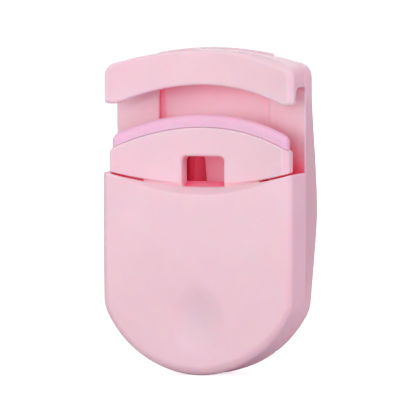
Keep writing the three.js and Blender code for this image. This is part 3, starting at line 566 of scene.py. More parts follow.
def pad_field(x, y, z):
    face_y = FRONT_Y + recess(x) + (HEAD_T - PAD_T) / 2
    thickness = (np.abs(y - face_y - PAD_T / 2) - PAD_T / 2) / recess_stretch(x)
    face = meet(above_arch(x, z, PAD_TOP_Z, LASH_R), np.abs(x) - PAD_HALF, 0.9)
    strip = meet(face, thickness, 1.45)
    return meet(strip, -above_arch(x, z, JAW_TOP_Z + 0.05, LASH_R), 0.12)


# ------------------------------------------------------------------ rear lever

LEVER_LOW_Z, LEVER_CORNER_R, LEVER_TOP_R = 6.0, 5.5, 66.0
# half width of the plate: height, half width
LEVER_SIDES = np.array([[60.0, LEVER_HALF], [62.6, 12.4], [65.6, 12.4], [66.2, 13.05]])
REST_Z, REST_HALF_X, REST_HALF_Z, REST_DEPTH = 21.0, 8.5, 12.5, 0.45
HINGE_BOSS_R, BOSS_HALF = 2.1, 11.9
SKIRT_X = (10.8, 12.0)
SKIRT_FRONT = np.array([[8.5, 3.5], [17.6, 3.7], [46.0, 3.7], [54.0, 4.6]])  # height, Y
RIB_X = (4.3, 6.1)
CAM_SLOT_R = 1.15

# the cam pin's path in the lever as it stands open (Y, Z)
CAM_PATH = [swing(CAM_Y, CAM_Z + JAW_LIFT * t, -SQUEEZE_DEG * t) for t in np.linspace(0, 1, 11)]
# side view of a rib: front edge upwards, then down the plate (Y, Z)
RIB_OUTLINE = [
    (10.6, 22.0), (4.4, 24.6), (2.75, 26.4), (2.75, 30.0),
    (3.0, 36.0), (3.4, 44.0), (4.4, 48.5), (6.4, 51.5),
]
for rib_z in (50, 46, 40, 35, 30, 25, 22):
    RIB_OUTLINE.append(swing(float(rear(rib_z)), rib_z, -SQUEEZE_DEG))


def lever_plate(x, z, closed_y, closed_z):
    side = np.abs(x)
    back_y = rear(closed_z)
    stretch = rear_stretch(closed_z)
    # shallow finger rest on the back
    rest = (x / REST_HALF_X) ** 2 + ((closed_z - REST_Z) / REST_HALF_Z) ** 2
    dish = REST_DEPTH * np.clip(1 - rest, 0, 1) ** 1.5
    outer = (closed_y - back_y - LEVER_PROUD + dish) / stretch
    inner = (back_y + LEVER_PROUD - LEVER_T - closed_y) / stretch
    half = np.interp(z, LEVER_SIDES[:, 0], LEVER_SIDES[:, 1])
    end_z = LEVER_LOW_Z - 1.4
    end = round_corner(side - (LEVER_HALF - LEVER_CORNER_R), (end_z + LEVER_CORNER_R) - z,
                       LEVER_CORNER_R)
    face = np.maximum(np.maximum(side - half, end), LEVER_LOW_Z - closed_z)
    face = meet(face, above_arch(x, z, LEVER_TOP_Z, LEVER_TOP_R), 0.5)
    return meet(meet(face, outer, 0.7), inner, 0.35)


def lever_field(x, y, z):
    """The lever as it stands open; closed_y and closed_z are its place when squeezed."""
    side = np.abs(x)
    closed_y, closed_z = swing(y, z, SQUEEZE_DEG)
    lever = lever_plate(x, z, closed_y, closed_z)
    boss = rod(y - HINGE_Y, z - HINGE_Z, x, HINGE_BOSS_R, (-BOSS_HALF, BOSS_HALF), 0.3)
    lever = join(lever, boss, 0.5)
    neck = box(x, y, z, (-BOSS_HALF, BOSS_HALF), (HINGE_Y, 5.4),
               (HINGE_Z - 1.6, HINGE_Z + 1.5), 0.2)
    lever = join(lever, neck, 0.3)
    # side skirts
    front = np.interp(closed_z, SKIRT_FRONT[:, 0], SKIRT_FRONT[:, 1])
    skirt = meet(between(side, SKIRT_X), front - closed_y, 0.3)
    skirt = np.maximum(skirt, closed_y - rear(closed_z))
    skirt = meet(skirt, meet(closed_z - 50.5, 9.0 - closed_z, 0), 0.3)
    lever = join(lever, skirt, 0.35)
    # ribs with the cam slots
    rib = meet(polygon(y, z, RIB_OUTLINE), between(side, RIB_X), 0.25)
    rib = cut(rib, polyline(y, z, CAM_PATH) - CAM_SLOT_R, 0.1)
    lever = join(lever, rib, 0.4)
    bore = rod(y - HINGE_Y, z - HINGE_Z, x, HINGE_PIN_R + 0.06, (-30, 30))
    return cut(lever, bore, 0.0)


# ------------------------------------------------------------------ painted shading
# Each function returns four values per point, stored as attributes for the plastic:
# trap (added to how open the surface is, a painted shade or light), a painted pink glow,
# a painted darkening of shade, and lift (painted cool light that makes the pink paler).


def frame_shade(x, y, z):
    """Painted shade: the long flanks darker than the front, the crease along the bar's top and the
    columns' inner walls darkened; painted light brightens the posts.
    """
    side = np.abs(x)
    flank = fade(side, HALF_W - 0.5, HALF_W - 0.15) * fade(y, -0.3, 0.3)
    flank = flank * (1 - fade(z, 54.0, 65.0))
    post = fade(z, 49.0, 54.0) * (1 - fade(z, 60.0, 62.0)) * (1 - fade(y, 4.0, 5.0))
    groove = np.sqrt(above_arch(x, z, BAR_TOP_Z, BAR_TOP_R) ** 2
                     + (y - FRONT_Y - recess(x) - CREASE_DEPTH) ** 2)
    groove = (1 - fade(groove, 0.33, 0.52)) * (1 - fade(side, 17.8, 18.6))
    # painted shade on the columns' inner walls, in the gap beside the lever
    wall = 1 - fade(np.abs(side - COLUMN_IN), 0.15, 0.45)
    wall = wall * fade(z, 49.0, 51.0) * (1 - fade(z, 63.0, 66.0))
    wall = wall * fade(y - parabola(x, FACE_SCOOP, HALF_W), 0.1, 0.5)
    trap = 0.16 * post * (1 - wall) - 0.40 * groove - 0.22 * wall
    painted_shade = 0.19 * flank + 0.20 * groove + 0.08 * wall
    return trap, 0.0, painted_shade, 0.03 * post * (1 - wall)


def cover_shade(x, y, z):
    """Painted shade: darker towards the foot and in the scoop under the rim."""
    outside = 1 - fade(y - cover_front(x, z), 0.3, 0.8)
    scooped = fade(z - scoop_low(x), -0.4, 0.5) * np.clip(scoop_depth(x) / 1.2, 0, 1)
    return 0.0, 0.0, (0.045 * (1 - fade(z, 10.0, 34.0)) + 0.10 * scooped) * outside, 0.0


def jaw_shade(x, y, z):
    """Painted shade on the window's sill, which is away from the light, with a faint painted pink
    glow.
    """
    sill = (1 - fade(np.abs(x), 4.45, 4.75)) * (1 - fade(z, 41.7, 42.1))
    sill = sill * fade(y, -5.65, -5.0) * (1 - fade(y, 0.0, 0.5))
    return -0.75 * sill, 0.06 * sill, 0.0, 0.0


def lever_shade(x, y, z):
    """Painted pink glow and painted light on the plate between the ribs and on the panel above the
    pad, standing in for light through the plate; painted shade outside the ribs.
    """
    closed_y, closed_z = swing(y, z, SQUEEZE_DEG)
    front = 1 - fade(closed_y - rear(closed_z) - LEVER_PROUD + LEVER_T, 0.3, 0.7)
    low = 1 - fade(z, 50.0, 53.0)
    middle = 1 - fade(np.abs(x), 4.05, 4.3)
    trap = low * (0.32 * middle - 0.25 * (1 - middle)) + (1 - low) * 0.36
    painted_glow = ((0.17 * middle - 0.04 * (1 - middle)) * low
            + 0.07 * (1 - low) * (1 - fade(z, 64.0, 66.0)))
    lift = 0.035 * low * middle + (1 - low) * (0.003 + 0.095 * (1 - fade(z, 57.0, 61.5)))
    return trap * front, painted_glow * front, 0.16 * low * (1 - middle) * front, lift * front


# ------------------------------------------------------------------ field to mesh


def sample_grid(field, axes):
    """Field values on the grid, a few slices at a time to save memory."""
    xs, ys, zs = axes
    samples = np.empty((len(xs), len(ys), len(zs)), np.float32)
    slices = 12
    y, z = ys[None, :, None], zs[None, None, :]
    for i in range(0, len(xs), slices):
        x = xs[i:i + slices][:, None, None]
        samples[i:i + slices] = np.broadcast_to(field(x, y, z), (x.shape[0], len(ys), len(zs)))
    return samples


def field_at(field, points):
    return field(points[:, 0], points[:, 1], points[:, 2])


def field_gradient(field, points, offset=0.02):
    gradient = np.empty_like(points)
    for k in range(3):
        ahead, behind = points.copy(), points.copy()
        ahead[:, k] += offset
        behind[:, k] -= offset
        gradient[:, k] = (field_at(field, ahead) - field_at(field, behind)) / (2 * offset)
    return gradient


def project(field, points, longest, rounds):
    """Step the points onto the surface, no step longer than the limit."""
    for _ in range(rounds):
        value = field_at(field, points)
        gradient = field_gradient(field, points)
        square = np.maximum((gradient * gradient).sum(1), 0.05)
        step = -(value / square)[:, None] * gradient
        length = np.linalg.norm(step, axis=1)
        step *= np.minimum(1, longest / np.maximum(length, 1e-9))[:, None]
        points = points + step
    return points


def cell_points(samples, cells):
    """Mean crossing of the surface with each cell's edges, in cells from its low corner."""
    i, j, k = cells
    total = np.zeros((len(i), 3))
    hits = np.zeros(len(i))
    for axis in range(3):
        others = [other for other in range(3) if other != axis]
        for u in (0, 1):
            for v in (0, 1):
                start = [0, 0, 0]
                start[others[0]], start[others[1]] = u, v
                end = list(start)
                end[axis] = 1
                low = samples[i + start[0], j + start[1], k + start[2]].astype(float)
                high = samples[i + end[0], j + end[1], k + end[2]].astype(float)
                crossed = (low < 0) != (high < 0)
                place = np.tile(np.array(start, float), (len(i), 1))
                place[:, axis] = np.where(crossed, low / np.where(crossed, low - high, 1), 0)
                total += place * crossed[:, None]
                hits += crossed
    return total / hits[:, None]


def net_quads(inside, index):
    """One quad round every grid edge that crosses the surface."""
    quads = []
    for axis in range(3):
        u, v = (axis + 1) % 3, (axis + 2) % 3
        low = [slice(1, -1)] * 3
        high = [slice(1, -1)] * 3
        low[axis], high[axis] = slice(None, -1), slice(1, None)
        edge = list(np.nonzero(inside[tuple(low)] != inside[tuple(high)]))
        edge[u], edge[v] = edge[u] + 1, edge[v] + 1
        corners = []
        for step_u, step_v in ((-1, -1), (0, -1), (0, 0), (-1, 0)):
            cell = list(edge)
            cell[u], cell[v] = edge[u] + step_u, edge[v] + step_v
            corners.append(index[tuple(cell)])
        quad = np.stack(corners, 1)
        # turned so that all faces look outwards
        entering = ~inside[tuple(edge)]
        quad[entering] = quad[entering][:, ::-1]
        quads.append(quad)
    return np.concatenate(quads)


def surface_net(field, low, high, cell):
    """Points and quads of a surface net with one point per crossed cell."""
    low = np.array(low, float) - 1.6 * cell
    high = np.array(high, float) + 1.6 * cell
    # the offset keeps flat faces off the grid planes
    axes = [np.arange(low[k] + 0.137 * cell, high[k] + cell, cell) for k in range(3)]
    samples = sample_grid(field, axes)
    samples = np.where(np.abs(samples) < 1e-6, 1e-6, samples)
    inside = samples < 0
    nx, ny, nz = samples.shape
    count = np.zeros((nx - 1, ny - 1, nz - 1), np.int8)
    for i in (0, 1):
        for j in (0, 1):
            for k in (0, 1):
                count += inside[i:nx - 1 + i, j:ny - 1 + j, k:nz - 1 + k]
    active = (count > 0) & (count < 8)
    cells = np.nonzero(active)
    index = np.full(active.shape, -1, np.int64)
    index[cells] = np.arange(len(cells[0]))
    corner = np.stack([axes[k][cells[k]] for k in range(3)], 1)
    return corner + cell_points(samples, cells) * cell, net_quads(inside, index)


def relax(field, points, quads, cell):
    """Even out the net while it stays on the surface."""
    edges = np.concatenate([quads[:, [0, 1]], quads[:, [1, 2]], quads[:, [2, 3]], quads[:, [3, 0]]])
    points = project(field, points, cell, rounds=2)
    for _ in range(3):
        total = np.zeros_like(points)
        count = np.zeros(len(points))
        for a, b in ((0, 1), (1, 0)):
            for k in range(3):
                total[:, k] += np.bincount(edges[:, a], weights=points[edges[:, b], k],
                                           minlength=len(points))
            count += np.bincount(edges[:, a], minlength=len(points))
        mean = total / np.maximum(count, 1)[:, None]
        points = project(field, points + 0.55 * (mean - points), cell, rounds=1)
    return project(field, points, cell, rounds=2)


def quad_mesh(name, points, quads):
    mesh = bpy.data.meshes.new(name)
    mesh.vertices.add(len(points))
    mesh.vertices.foreach_set("co", points.astype(np.float32).ravel())
    mesh.loops.add(quads.size)
    mesh.loops.foreach_set("vertex_index", quads.astype(np.int32).ravel())
    mesh.polygons.add(len(quads))
    mesh.polygons.foreach_set("loop_start", np.arange(0, quads.size, 4, dtype=np.int32))
    mesh.update(calc_edges=True)
    mesh.validate()
    return mesh


def link_object(name, data):
    ob = bpy.data.objects.new(name, data)
    bpy.context.scene.collection.objects.link(ob)
    return ob


def evaluated_mesh(ob):
    """Mesh of the object with its modifiers applied; the modifiers are then removed."""
    depsgraph = bpy.context.evaluated_depsgraph_get()
    mesh = bpy.data.meshes.new_from_object(ob.evaluated_get(depsgraph))
    ob.modifiers.clear()
    ob.data = mesh
    return mesh


def thin_out(ob, ratio):
    dense = ob.data
    name = dense.name
    modifier = ob.modifiers.new("thin", "DECIMATE")
    modifier.decimate_type = "COLLAPSE"
    modifier.ratio = ratio
    mesh = evaluated_mesh(ob)
    bpy.data.meshes.remove(dense)
    mesh.name = name


def edge_sheen_and_wear(field, points, offset=0.18):
    """How convex the surface is, 0 to 1, for the painted highlight and smoother finish along the
    edges.
    """
    bend = -6 * field_at(field, points)
    for k in range(3):
        for step in (-offset, offset):
            moved = points.copy()
            moved[:, k] += step
            bend = bend + field_at(field, moved)
    return np.clip((bend / (offset * offset) - 0.75) / 1.6, 0, 1).astype(np.float32)


def add_attribute(mesh, name, values):
    mesh.attributes.new(name, "FLOAT", "POINT").data.foreach_set("value", values)


def assign(ob, body, replaced):
    """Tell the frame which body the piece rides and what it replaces."""
    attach(ob, body)
    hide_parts(replaced)


def moulded(name, field, shade, low, high, cell, triangles, body, replaced, slot):
    points, quads = surface_net(field, low, high, cell)
    points = relax(field, points, quads, cell)
    ob = link_object(name, quad_mesh(name, points, quads))
    if 2 * len(quads) > triangles:
        thin_out(ob, triangles / (2 * len(quads)))
    mesh = ob.data
    flat = np.empty(len(mesh.vertices) * 3, np.float32)
    mesh.vertices.foreach_get("co", flat)
    points = project(field, flat.reshape(-1, 3).astype(float), 0.5 * cell, rounds=1)
    normals = field_gradient(field, points, 0.03)
    normals /= np.maximum(np.linalg.norm(normals, axis=1), 1e-9)[:, None]
    placed = points.copy()
    placed[:, 1] += SEAM_Y
    mesh.vertices.foreach_set("co", (placed * MM).astype(np.float32).ravel())
    mesh.update()
    mesh.shade_smooth()
    mesh.normals_split_custom_set_from_vertices([tuple(normal) for normal in normals])
    mesh.update()
    sheen_and_wear = edge_sheen_and_wear(field, points)
    shades = shade(points[:, 0], points[:, 1], points[:, 2]) if shade else ()
    if shade:
        # no painted edge highlight or smoother edge where the light is trapped
        sheen_and_wear = (sheen_and_wear * np.clip(1 + 4 * shades[0], 0, 1)).astype(np.float32)
    add_attribute(mesh, "sheen_and_wear", sheen_and_wear)
    # attributes of painted light and shade for the plastic
    for label, values in zip(("trap", "painted_glow", "painted_shade", "lift"), shades):
        add_attribute(mesh, label, np.asarray(values + 0 * points[:, 0], np.float32))
    mesh.materials.clear()
    mesh.materials.append(materials[slot])
    assign(ob, body, replaced)


# ------------------------------------------------------------------ shader graph tools


class Graph:
    """Short ways to add shader nodes; an input is given a plain value or a socket to link."""

    def __init__(self, owner, clear=True):
        owner.use_nodes = True
        self.tree = owner.node_tree
        if clear:
            self.tree.nodes.clear()

    def feed(self, node, inputs):
        for key, value in inputs.items():
            if isinstance(value, bpy.types.NodeSocket):
                self.tree.links.new(value, node.inputs[key])
            else:
                node.inputs[key].default_value = value

    def add(self, kind, inputs=None, **settings):
        node = self.tree.nodes.new("ShaderNode" + kind)
        for key, value in settings.items():
            setattr(node, key, value)
        self.feed(node, inputs or {})
        return node

    def place(self):
        return self.add("TexCoord").outputs["Object"]

    def attribute(self, name):
        return self.add("Attribute", attribute_name=name).outputs["Fac"]

    def math(self, operation, *values):
        return self.add("Math", dict(enumerate(values)), operation=operation).outputs[0]

    def map_range(self, value, start, end, low=0.0, high=1.0, **settings):
        inputs = {"Value": value, "From Min": start, "From Max": end,
                  "To Min": low, "To Max": high}
        return self.add("MapRange", inputs, **settings).outputs["Result"]

    def noise(self, vector, scale, detail, roughness=0.5, distortion=0.0):
        inputs = {"Vector": vector, "Scale": scale, "Detail": detail,
                  "Roughness": roughness, "Distortion": distortion}
        return self.add("TexNoise", inputs).outputs["Fac"]

    def mix(self, factor, first, second):
        inputs = {"Factor": factor, "A": first, "B": second}
        return self.add("Mix", inputs, data_type="RGBA").outputs["Result"]

    def scale(self, vector, factor):
        inputs = {0: vector, "Scale": factor}
        return self.add("VectorMath", inputs, operation="SCALE").outputs["Vector"]

    def bump(self, height, strength, distance):
        inputs = {"Height": height, "Strength": strength, "Distance": distance}
        return self.add("Bump", inputs).outputs["Normal"]


def scaled(color, factor):
    return tuple(min(1, c * factor) for c in color[:3]) + (1,)


# ------------------------------------------------------------------ plastic and silicone


def openness(graph, place, panel_gap):
    """How much daylight reaches the surface: occlusion corrected by height and by trap."""
    axes = graph.add("SeparateXYZ", {0: place})
    occlusion = graph.add("AmbientOcclusion", {"Distance": 0.012}, samples=6)
    # nothing traps the light near the table top
    foot = graph.map_range(axes.outputs["Z"], 0.004, 0.012, low=1.0, high=0.0)
    lit = graph.math("MAXIMUM", occlusion.outputs["AO"], foot)
    # more daylight gets in above the pad than below it, and most at the crown
    above_pad = graph.map_range(axes.outputs["Z"], 0.049, 0.056, high=0.18)
    crown = graph.map_range(axes.outputs["Z"], 0.0655, 0.0685, high=0.5)
    lit = graph.math("ADD", lit, graph.math("ADD", above_pad, crown))
    trap = graph.attribute("trap")
    lit = graph.math("ADD", lit, trap)
    if panel_gap:
        # painted shade in the narrow gap between the panel's long edges and the columns
        across = graph.math("ABSOLUTE", axes.outputs["X"])
        gap = graph.map_range(across, 0.0110, 0.0121, high=-1.05, interpolation_type="SMOOTHSTEP")
        lit = graph.math("MULTIPLY_ADD", gap, graph.math("MAXIMUM", trap, 0.0), lit)
    return lit


def rubbed_edge_sheen(graph, place):
    """The edge highlight and wear attribute broken up by fine noise."""
    patches = graph.noise(place, scale=900.0, detail=3.0)
    patches = graph.map_range(patches, 0.3, 0.7, low=0.55, high=1.0)
    return graph.math("MULTIPLY", graph.attribute("sheen_and_wear"), patches)


def plastic_color(graph, place, base, shade_color, lit, open_share, dark_range, worn_sheen):
    # slow variation of the melt
    flow = graph.noise(place, scale=55.0, detail=3.0, roughness=0.55, distortion=0.6)
    flow = graph.map_range(flow, 0.3, 0.7)
    body = graph.mix(flow, scaled(base, 0.965), scaled(base, 1.02))
    # painted shade: deeper colour where light is trapped, more saturated still in the darkest part
    darkest, lightest = dark_range
    abyss = graph.map_range(lit, darkest, darkest + 0.65 * (lightest - darkest))
    trapped = graph.mix(abyss, (shade_color[0], shade_color[1] * 0.22, shade_color[2] * 0.34, 1), shade_color)
    color = graph.mix(open_share, trapped, body)
    # painted highlight: convex edges are a touch paler
    pale = tuple(c + (1 - c) * 0.45 for c in base[:3]) + (1,)
    color = graph.mix(graph.math("MULTIPLY", worn_sheen, 0.28), color, pale)
    # painted shade darkens the colour here
    return graph.scale(color, graph.math("SUBTRACT", 1.0, graph.attribute("painted_shade")))


def plastic_emission(graph, open_share, painted_glow):
    """Painted glow: pink emission standing in for light coming through the thin walls, plus painted
    cool light.
    """
    hollow_glow = graph.math("MULTIPLY", graph.math("SUBTRACT", 1.0, open_share), painted_glow)
    hollow_glow = graph.math("ADD", graph.attribute("painted_glow"), hollow_glow)
    pink = graph.scale((1.0, 0.13, 0.32), hollow_glow)
    cool = graph.scale((0.10, 1.0, 1.12), graph.attribute("lift"))
    return graph.add("VectorMath", {0: pink, 1: cool}, operation="ADD").outputs["Vector"]


def plastic_normal(graph, place, strength):
    """Spark-eroded grain."""
    fine = graph.noise(place, scale=5200.0, detail=2.0)
    cells = graph.add("TexVoronoi", {"Vector": place, "Scale": 3800.0}).outputs["Distance"]
    return graph.bump(graph.math("ADD", fine, cells), strength, distance=0.00004)


def plastic_roughness(graph, place, rough, worn_sheen):
    """Patches from handling, and smoother edges."""
    handled = graph.noise(place, scale=140.0, detail=4.0)
    patches = graph.map_range(handled, 0.3, 0.7, low=rough - 0.04, high=rough + 0.05)
    return graph.math("SUBTRACT", patches, graph.math("MULTIPLY", worn_sheen, 0.08))


def plastic(name, base, shade_color, rough=0.42, grain=0.05, subsurface=0.5, dark_range=(0.34, 0.60),
            painted_glow=0.05, panel_gap=False, extra=None):
    """Satin moulded plastic; dark_range is the openness over which the painted shade colour turns
    into base.
    """
    material = bpy.data.materials.new(name)
    graph = Graph(material)
    place = graph.place()
    lit = openness(graph, place, panel_gap)
    open_share = graph.map_range(lit, dark_range[0], dark_range[1])
    worn_sheen = rubbed_edge_sheen(graph, place)
    inputs = {
        "Base Color": plastic_color(graph, place, base, shade_color, lit, open_share, dark_range, worn_sheen),
        "Emission Color": plastic_emission(graph, open_share, painted_glow),
        "Emission Strength": 1.0,
        "Normal": plastic_normal(graph, place, grain),
        "Roughness": plastic_roughness(graph, place, rough, worn_sheen),
        "IOR": 1.49,
        "Specular IOR Level": 0.42,
        "Subsurface Weight": subsurface,
        "Subsurface Radius": (1.0, 0.10, 0.20),
        "Subsurface Scale": 0.0025,
    }
    surface = graph.add("BsdfPrincipled", inputs | (extra or {}))
    graph.add("OutputMaterial", {0: surface.outputs[0]})
    return material


SILICONE_SURFACE = {
    "Sheen Weight": 0.25,
    "Sheen Roughness": 0.4,
    "Sheen Tint": (1.0, 0.9, 0.97, 1),
    "Subsurface Scale": 0.0022,
}

# ------------------------------------------------------------------ steel


def steel(name, base, rough, grain_scale=(8000, 600, 600)):
    """Drawn steel; its grain is finest along the axis with the largest scale."""
    material = bpy.data.materials.new(name)
    graph = Graph(material, clear=False)
    surface = next(n for n in graph.tree.nodes if n.type == "BSDF_PRINCIPLED")
    graph.feed(surface, {"Base Color": base, "Metallic": 1.0})
    mapping = graph.add("Mapping", {"Vector": graph.place(), "Scale": grain_scale})
    grain = graph.noise(mapping.outputs[0], scale=1.0, detail=3.0)
    graph.feed(surface, {
        "Roughness": graph.map_range(grain, 0.0, 1.0, low=rough - 0.08, high=rough + 0.12),
        "Base Color": graph.mix(grain, scaled(base, 0.85), base),
        "Normal": graph.bump(grain, strength=0.15, distance=0.00002),
    })
    return material


# ------------------------------------------------------------------ the materials, by slot

PINK = (0.965, 0.708, 0.768, 1.0)
BACK_PINK = (0.963, 0.705, 0.762, 1.0)
# colour of the painted shade in hollows
SHADE_PINK = (0.965, 0.22, 0.41, 1.0)

materials = {
    "pink_cover_abs": plastic("pink_cover_abs", PINK, SHADE_PINK, dark_range=(0.20, 0.50)),
    "pink_frame_abs": plastic("pink_frame_abs", BACK_PINK, SHADE_PINK),
    "pink_jaw_abs": plastic("pink_jaw_abs", PINK, SHADE_PINK, dark_range=(-0.30, 0.35), painted_glow=0.02),
    "pink_lever_abs": plastic("pink_lever_abs", BACK_PINK, SHADE_PINK, panel_gap=True),
    "lash_silicone": plastic(
        "lash_silicone", base=(0.970, 0.610, 0.785, 1.0), shade_color=(0.94, 0.36, 0.60, 1.0),
        rough=0.55, grain=0.08, subsurface=0.4, dark_range=(-0.40, 0.35), painted_glow=0.0,
        extra=SILICONE_SURFACE),
    "pin_steel": steel("pin_steel", base=(0.62, 0.62, 0.63, 1), rough=0.24),
    "spring_steel": steel("spring_steel", base=(0.52, 0.52, 0.54, 1), rough=0.28),
    "screw_steel": steel("screw_steel", base=(0.60, 0.59, 0.58, 1), rough=0.3,
                         grain_scale=(900, 900, 900)),
}

# ------------------------------------------------------------------ moulded pieces

moulded("casing_frame", frame_field, frame_shade,
        low=(-HALF_W, FRONT_Y, 0), high=(HALF_W, 9.5, BAR_TOP_Z), cell=0.32,
        triangles=90000, body="casing", replaced="frame_body", slot="pink_frame_abs")
moulded("casing_cover", cover_field, cover_shade,
        low=(-HALF_W, FRONT_Y, 0), high=(HALF_W, 2.3, rim_z(HALF_W)), cell=0.32,
        triangles=60000, body="casing", replaced="front_cover", slot="pink_cover_abs")
moulded("sliding_jaw", jaw_field, jaw_shade,
        low=(-HEAD_HALF, FRONT_Y, JAW_LOW_Z), high=(HEAD_HALF, 7.5, JAW_TOP_Z), cell=0.28,
        triangles=60000, body="jaw", replaced="jaw_carrier", slot="pink_jaw_abs")
moulded("lash_pad", pad_field, None,
        low=(-PAD_HALF, FRONT_Y, 48.3), high=(PAD_HALF, -1.5, PAD_TOP_Z), cell=0.22,
        triangles=24000, body="jaw", replaced="silicone_pad", slot="lash_silicone")
moulded("rear_lever", lever_field, lever_shade,
        low=(-LEVER_HALF, 1.0, 5.8), high=(LEVER_HALF, 14.2, LEVER_TOP_Z), cell=0.3,
        triangles=60000, body="lever", replaced="squeeze_lever", slot="pink_lever_abs")

# ------------------------------------------------------------------ steel pieces


def solid(name, points, faces, slot):
    """Smooth-shaded object from points in millimetres."""
    mesh = bpy.data.meshes.new(name)
    mesh.from_pydata([(x * MM, (y + SEAM_Y) * MM, z * MM) for x, y, z in points], [], faces)
    mesh.update()
    bm = bmesh.new()
    bm.from_mesh(mesh)
    bmesh.ops.recalc_face_normals(bm, faces=bm.faces)
    bm.to_mesh(mesh)
    bm.free()
    mesh.shade_smooth()
    mesh.materials.append(materials[slot])
    return link_object(name, mesh)


def lathe(name, profile, sides, place, slot):
    """Turned solid; the profile is (radius, height) and starts and ends on the axis."""
    points, faces, rings = [], [], []
    for radius, height in profile:
        start = len(points)
        if radius < 1e-6:
            points.append((0, 0, height))
        else:
            for s in range(sides):
                angle = 2 * math.pi * s / sides
                points.append((radius * math.cos(angle), radius * math.sin(angle), height))
        rings.append(range(start, len(points)))
    for low, high in zip(rings[:-1], rings[1:]):
        for s in range(sides):
            t = (s + 1) % sides
            if len(low) == 1:
                faces.append((low[0], high[t], high[s]))
            elif len(high) == 1:
                faces.append((low[s], low[t], high[0]))
            else:
                faces.append((low[s], low[t], high[t], high[s]))
    return solid(name, [place(*point) for point in points], faces, slot)


def pin(name, radius, half, y, z, body, replaced):
    """Chamfered pin along X."""
    chamfer = 0.22
    inner = radius - chamfer
    profile = [
        (0, -half), (inner, -half), (radius, -half + chamfer),
        (radius, -half * 0.5), (radius, 0), (radius, half * 0.5),
        (radius, half - chamfer), (inner, half), (0, half),
    ]
    ob = lathe(name, profile, 40, lambda u, v, along: (along, u + y, v + z), "pin_steel")
    bevel = ob.modifiers.new("edges", "BEVEL")
    bevel.width = 0.00008
    bevel.segments = 2
    bevel.limit_method = "ANGLE"
    bevel.angle_limit = math.radians(28)
    bevel.harden_normals = True
    assign(ob, body, replaced)


pin("hinge_pin", HINGE_PIN_R, 17.8, HINGE_Y, HINGE_Z, "casing", "lever_hinge_pin")
pin("cam_pin", CAM_PIN_R, EAR_X[1] + 0.1, CAM_Y, CAM_Z, "jaw", "jaw_cam_pin")

SPRING_R, WIRE_R = 1.25, 0.2
SPRING_COILS = 8
COIL_STEPS, WIRE_SIDES = 40, 14
END_RISE = 0.46                          # rise of the close first and last coil
SPRING_GAP = 0.06                        # between wire and seat


def coil_centres(sign):
    """Centre line of the wire, from the jaw's foot up to the frame's ledge."""
    low_z = FOOT_Z + WIRE_R + SPRING_GAP
    height = LEDGE_Z - WIRE_R - SPRING_GAP - low_z
    steps = SPRING_COILS * COIL_STEPS
    end = 1 / SPRING_COILS
    centres = []
    for i in range(steps + 1):
        t = i / steps
        if t < end:
            z = END_RISE * t / end
        elif t > 1 - end:
            z = height - END_RISE * (1 - t) / end
        else:
            z = END_RISE + (height - 2 * END_RISE) * (t - end) / (1 - 2 * end)
        angle = 2 * math.pi * SPRING_COILS * t
        centres.append((sign * SPRING_X + SPRING_R * math.cos(angle),
                        SPRING_Y + SPRING_R * math.sin(angle), low_z + z))
    return np.array(centres)


def spring(name, sign, replaced):
    centres = coil_centres(sign)
    tangents = np.gradient(centres, axis=0)
    tangents /= np.linalg.norm(tangents, axis=1)[:, None]
    # towards the coil's axis, square to the wire
    normals = np.array([sign * SPRING_X, SPRING_Y, 0.0]) - centres
    normals[:, 2] = 0
    normals -= (normals * tangents).sum(1)[:, None] * tangents
    normals /= np.linalg.norm(normals, axis=1)[:, None]
    binormals = np.cross(tangents, normals)
    points, faces = [], []
    for centre, normal, binormal in zip(centres, normals, binormals):
        for s in range(WIRE_SIDES):
            angle = 2 * math.pi * s / WIRE_SIDES
            across = math.cos(angle) * normal + math.sin(angle) * binormal
            points.append(centre + WIRE_R * across)
    last = (len(centres) - 1) * WIRE_SIDES
    for low in range(0, last, WIRE_SIDES):
        high = low + WIRE_SIDES
        for s in range(WIRE_SIDES):
            t = (s + 1) % WIRE_SIDES
            faces.append((low + s, low + t, high + t, high + s))
    faces.append(tuple(range(WIRE_SIDES))[::-1])
    faces.append(tuple(last + s for s in range(WIRE_SIDES)))
    ob = solid(name, points, faces, "spring_steel")
    assign(ob, "casing", replaced)
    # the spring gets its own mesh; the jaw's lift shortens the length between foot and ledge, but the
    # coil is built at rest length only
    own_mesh(ob)


spring("coil_left", -1, "return_spring_left")
spring("coil_right", 1, "return_spring_right")

SCREW_TIP_Y = FRONT_Y + WALL + 1.2
SCREW_HEAD_Y = WEB_T + 0.05
CORE_R, THREAD_R, THREAD_PITCH = 0.66, 0.8, 0.5


def screw_profile():
    """Thread ridges along the shank, then the domed head (radius, Y)."""
    profile = [(0, SCREW_TIP_Y)]
    y = SCREW_TIP_Y + 0.1
    while y < SCREW_HEAD_Y - 0.75:
        profile += [(CORE_R, y), (THREAD_R, y + 0.22), (CORE_R, y + 0.44)]
        y += THREAD_PITCH
    profile.append((THREAD_R, SCREW_HEAD_Y - 0.2))
    # radius, Y behind the head's seat
    head = [(THREAD_R, 0), (1.75, 0), (1.75, 0.5), (1.62, 0.72), (1.35, 0.95), (0.95, 1.12),
            (0.0, 1.2)]
    return profile + [(radius, SCREW_HEAD_Y + rise) for radius, rise in head]


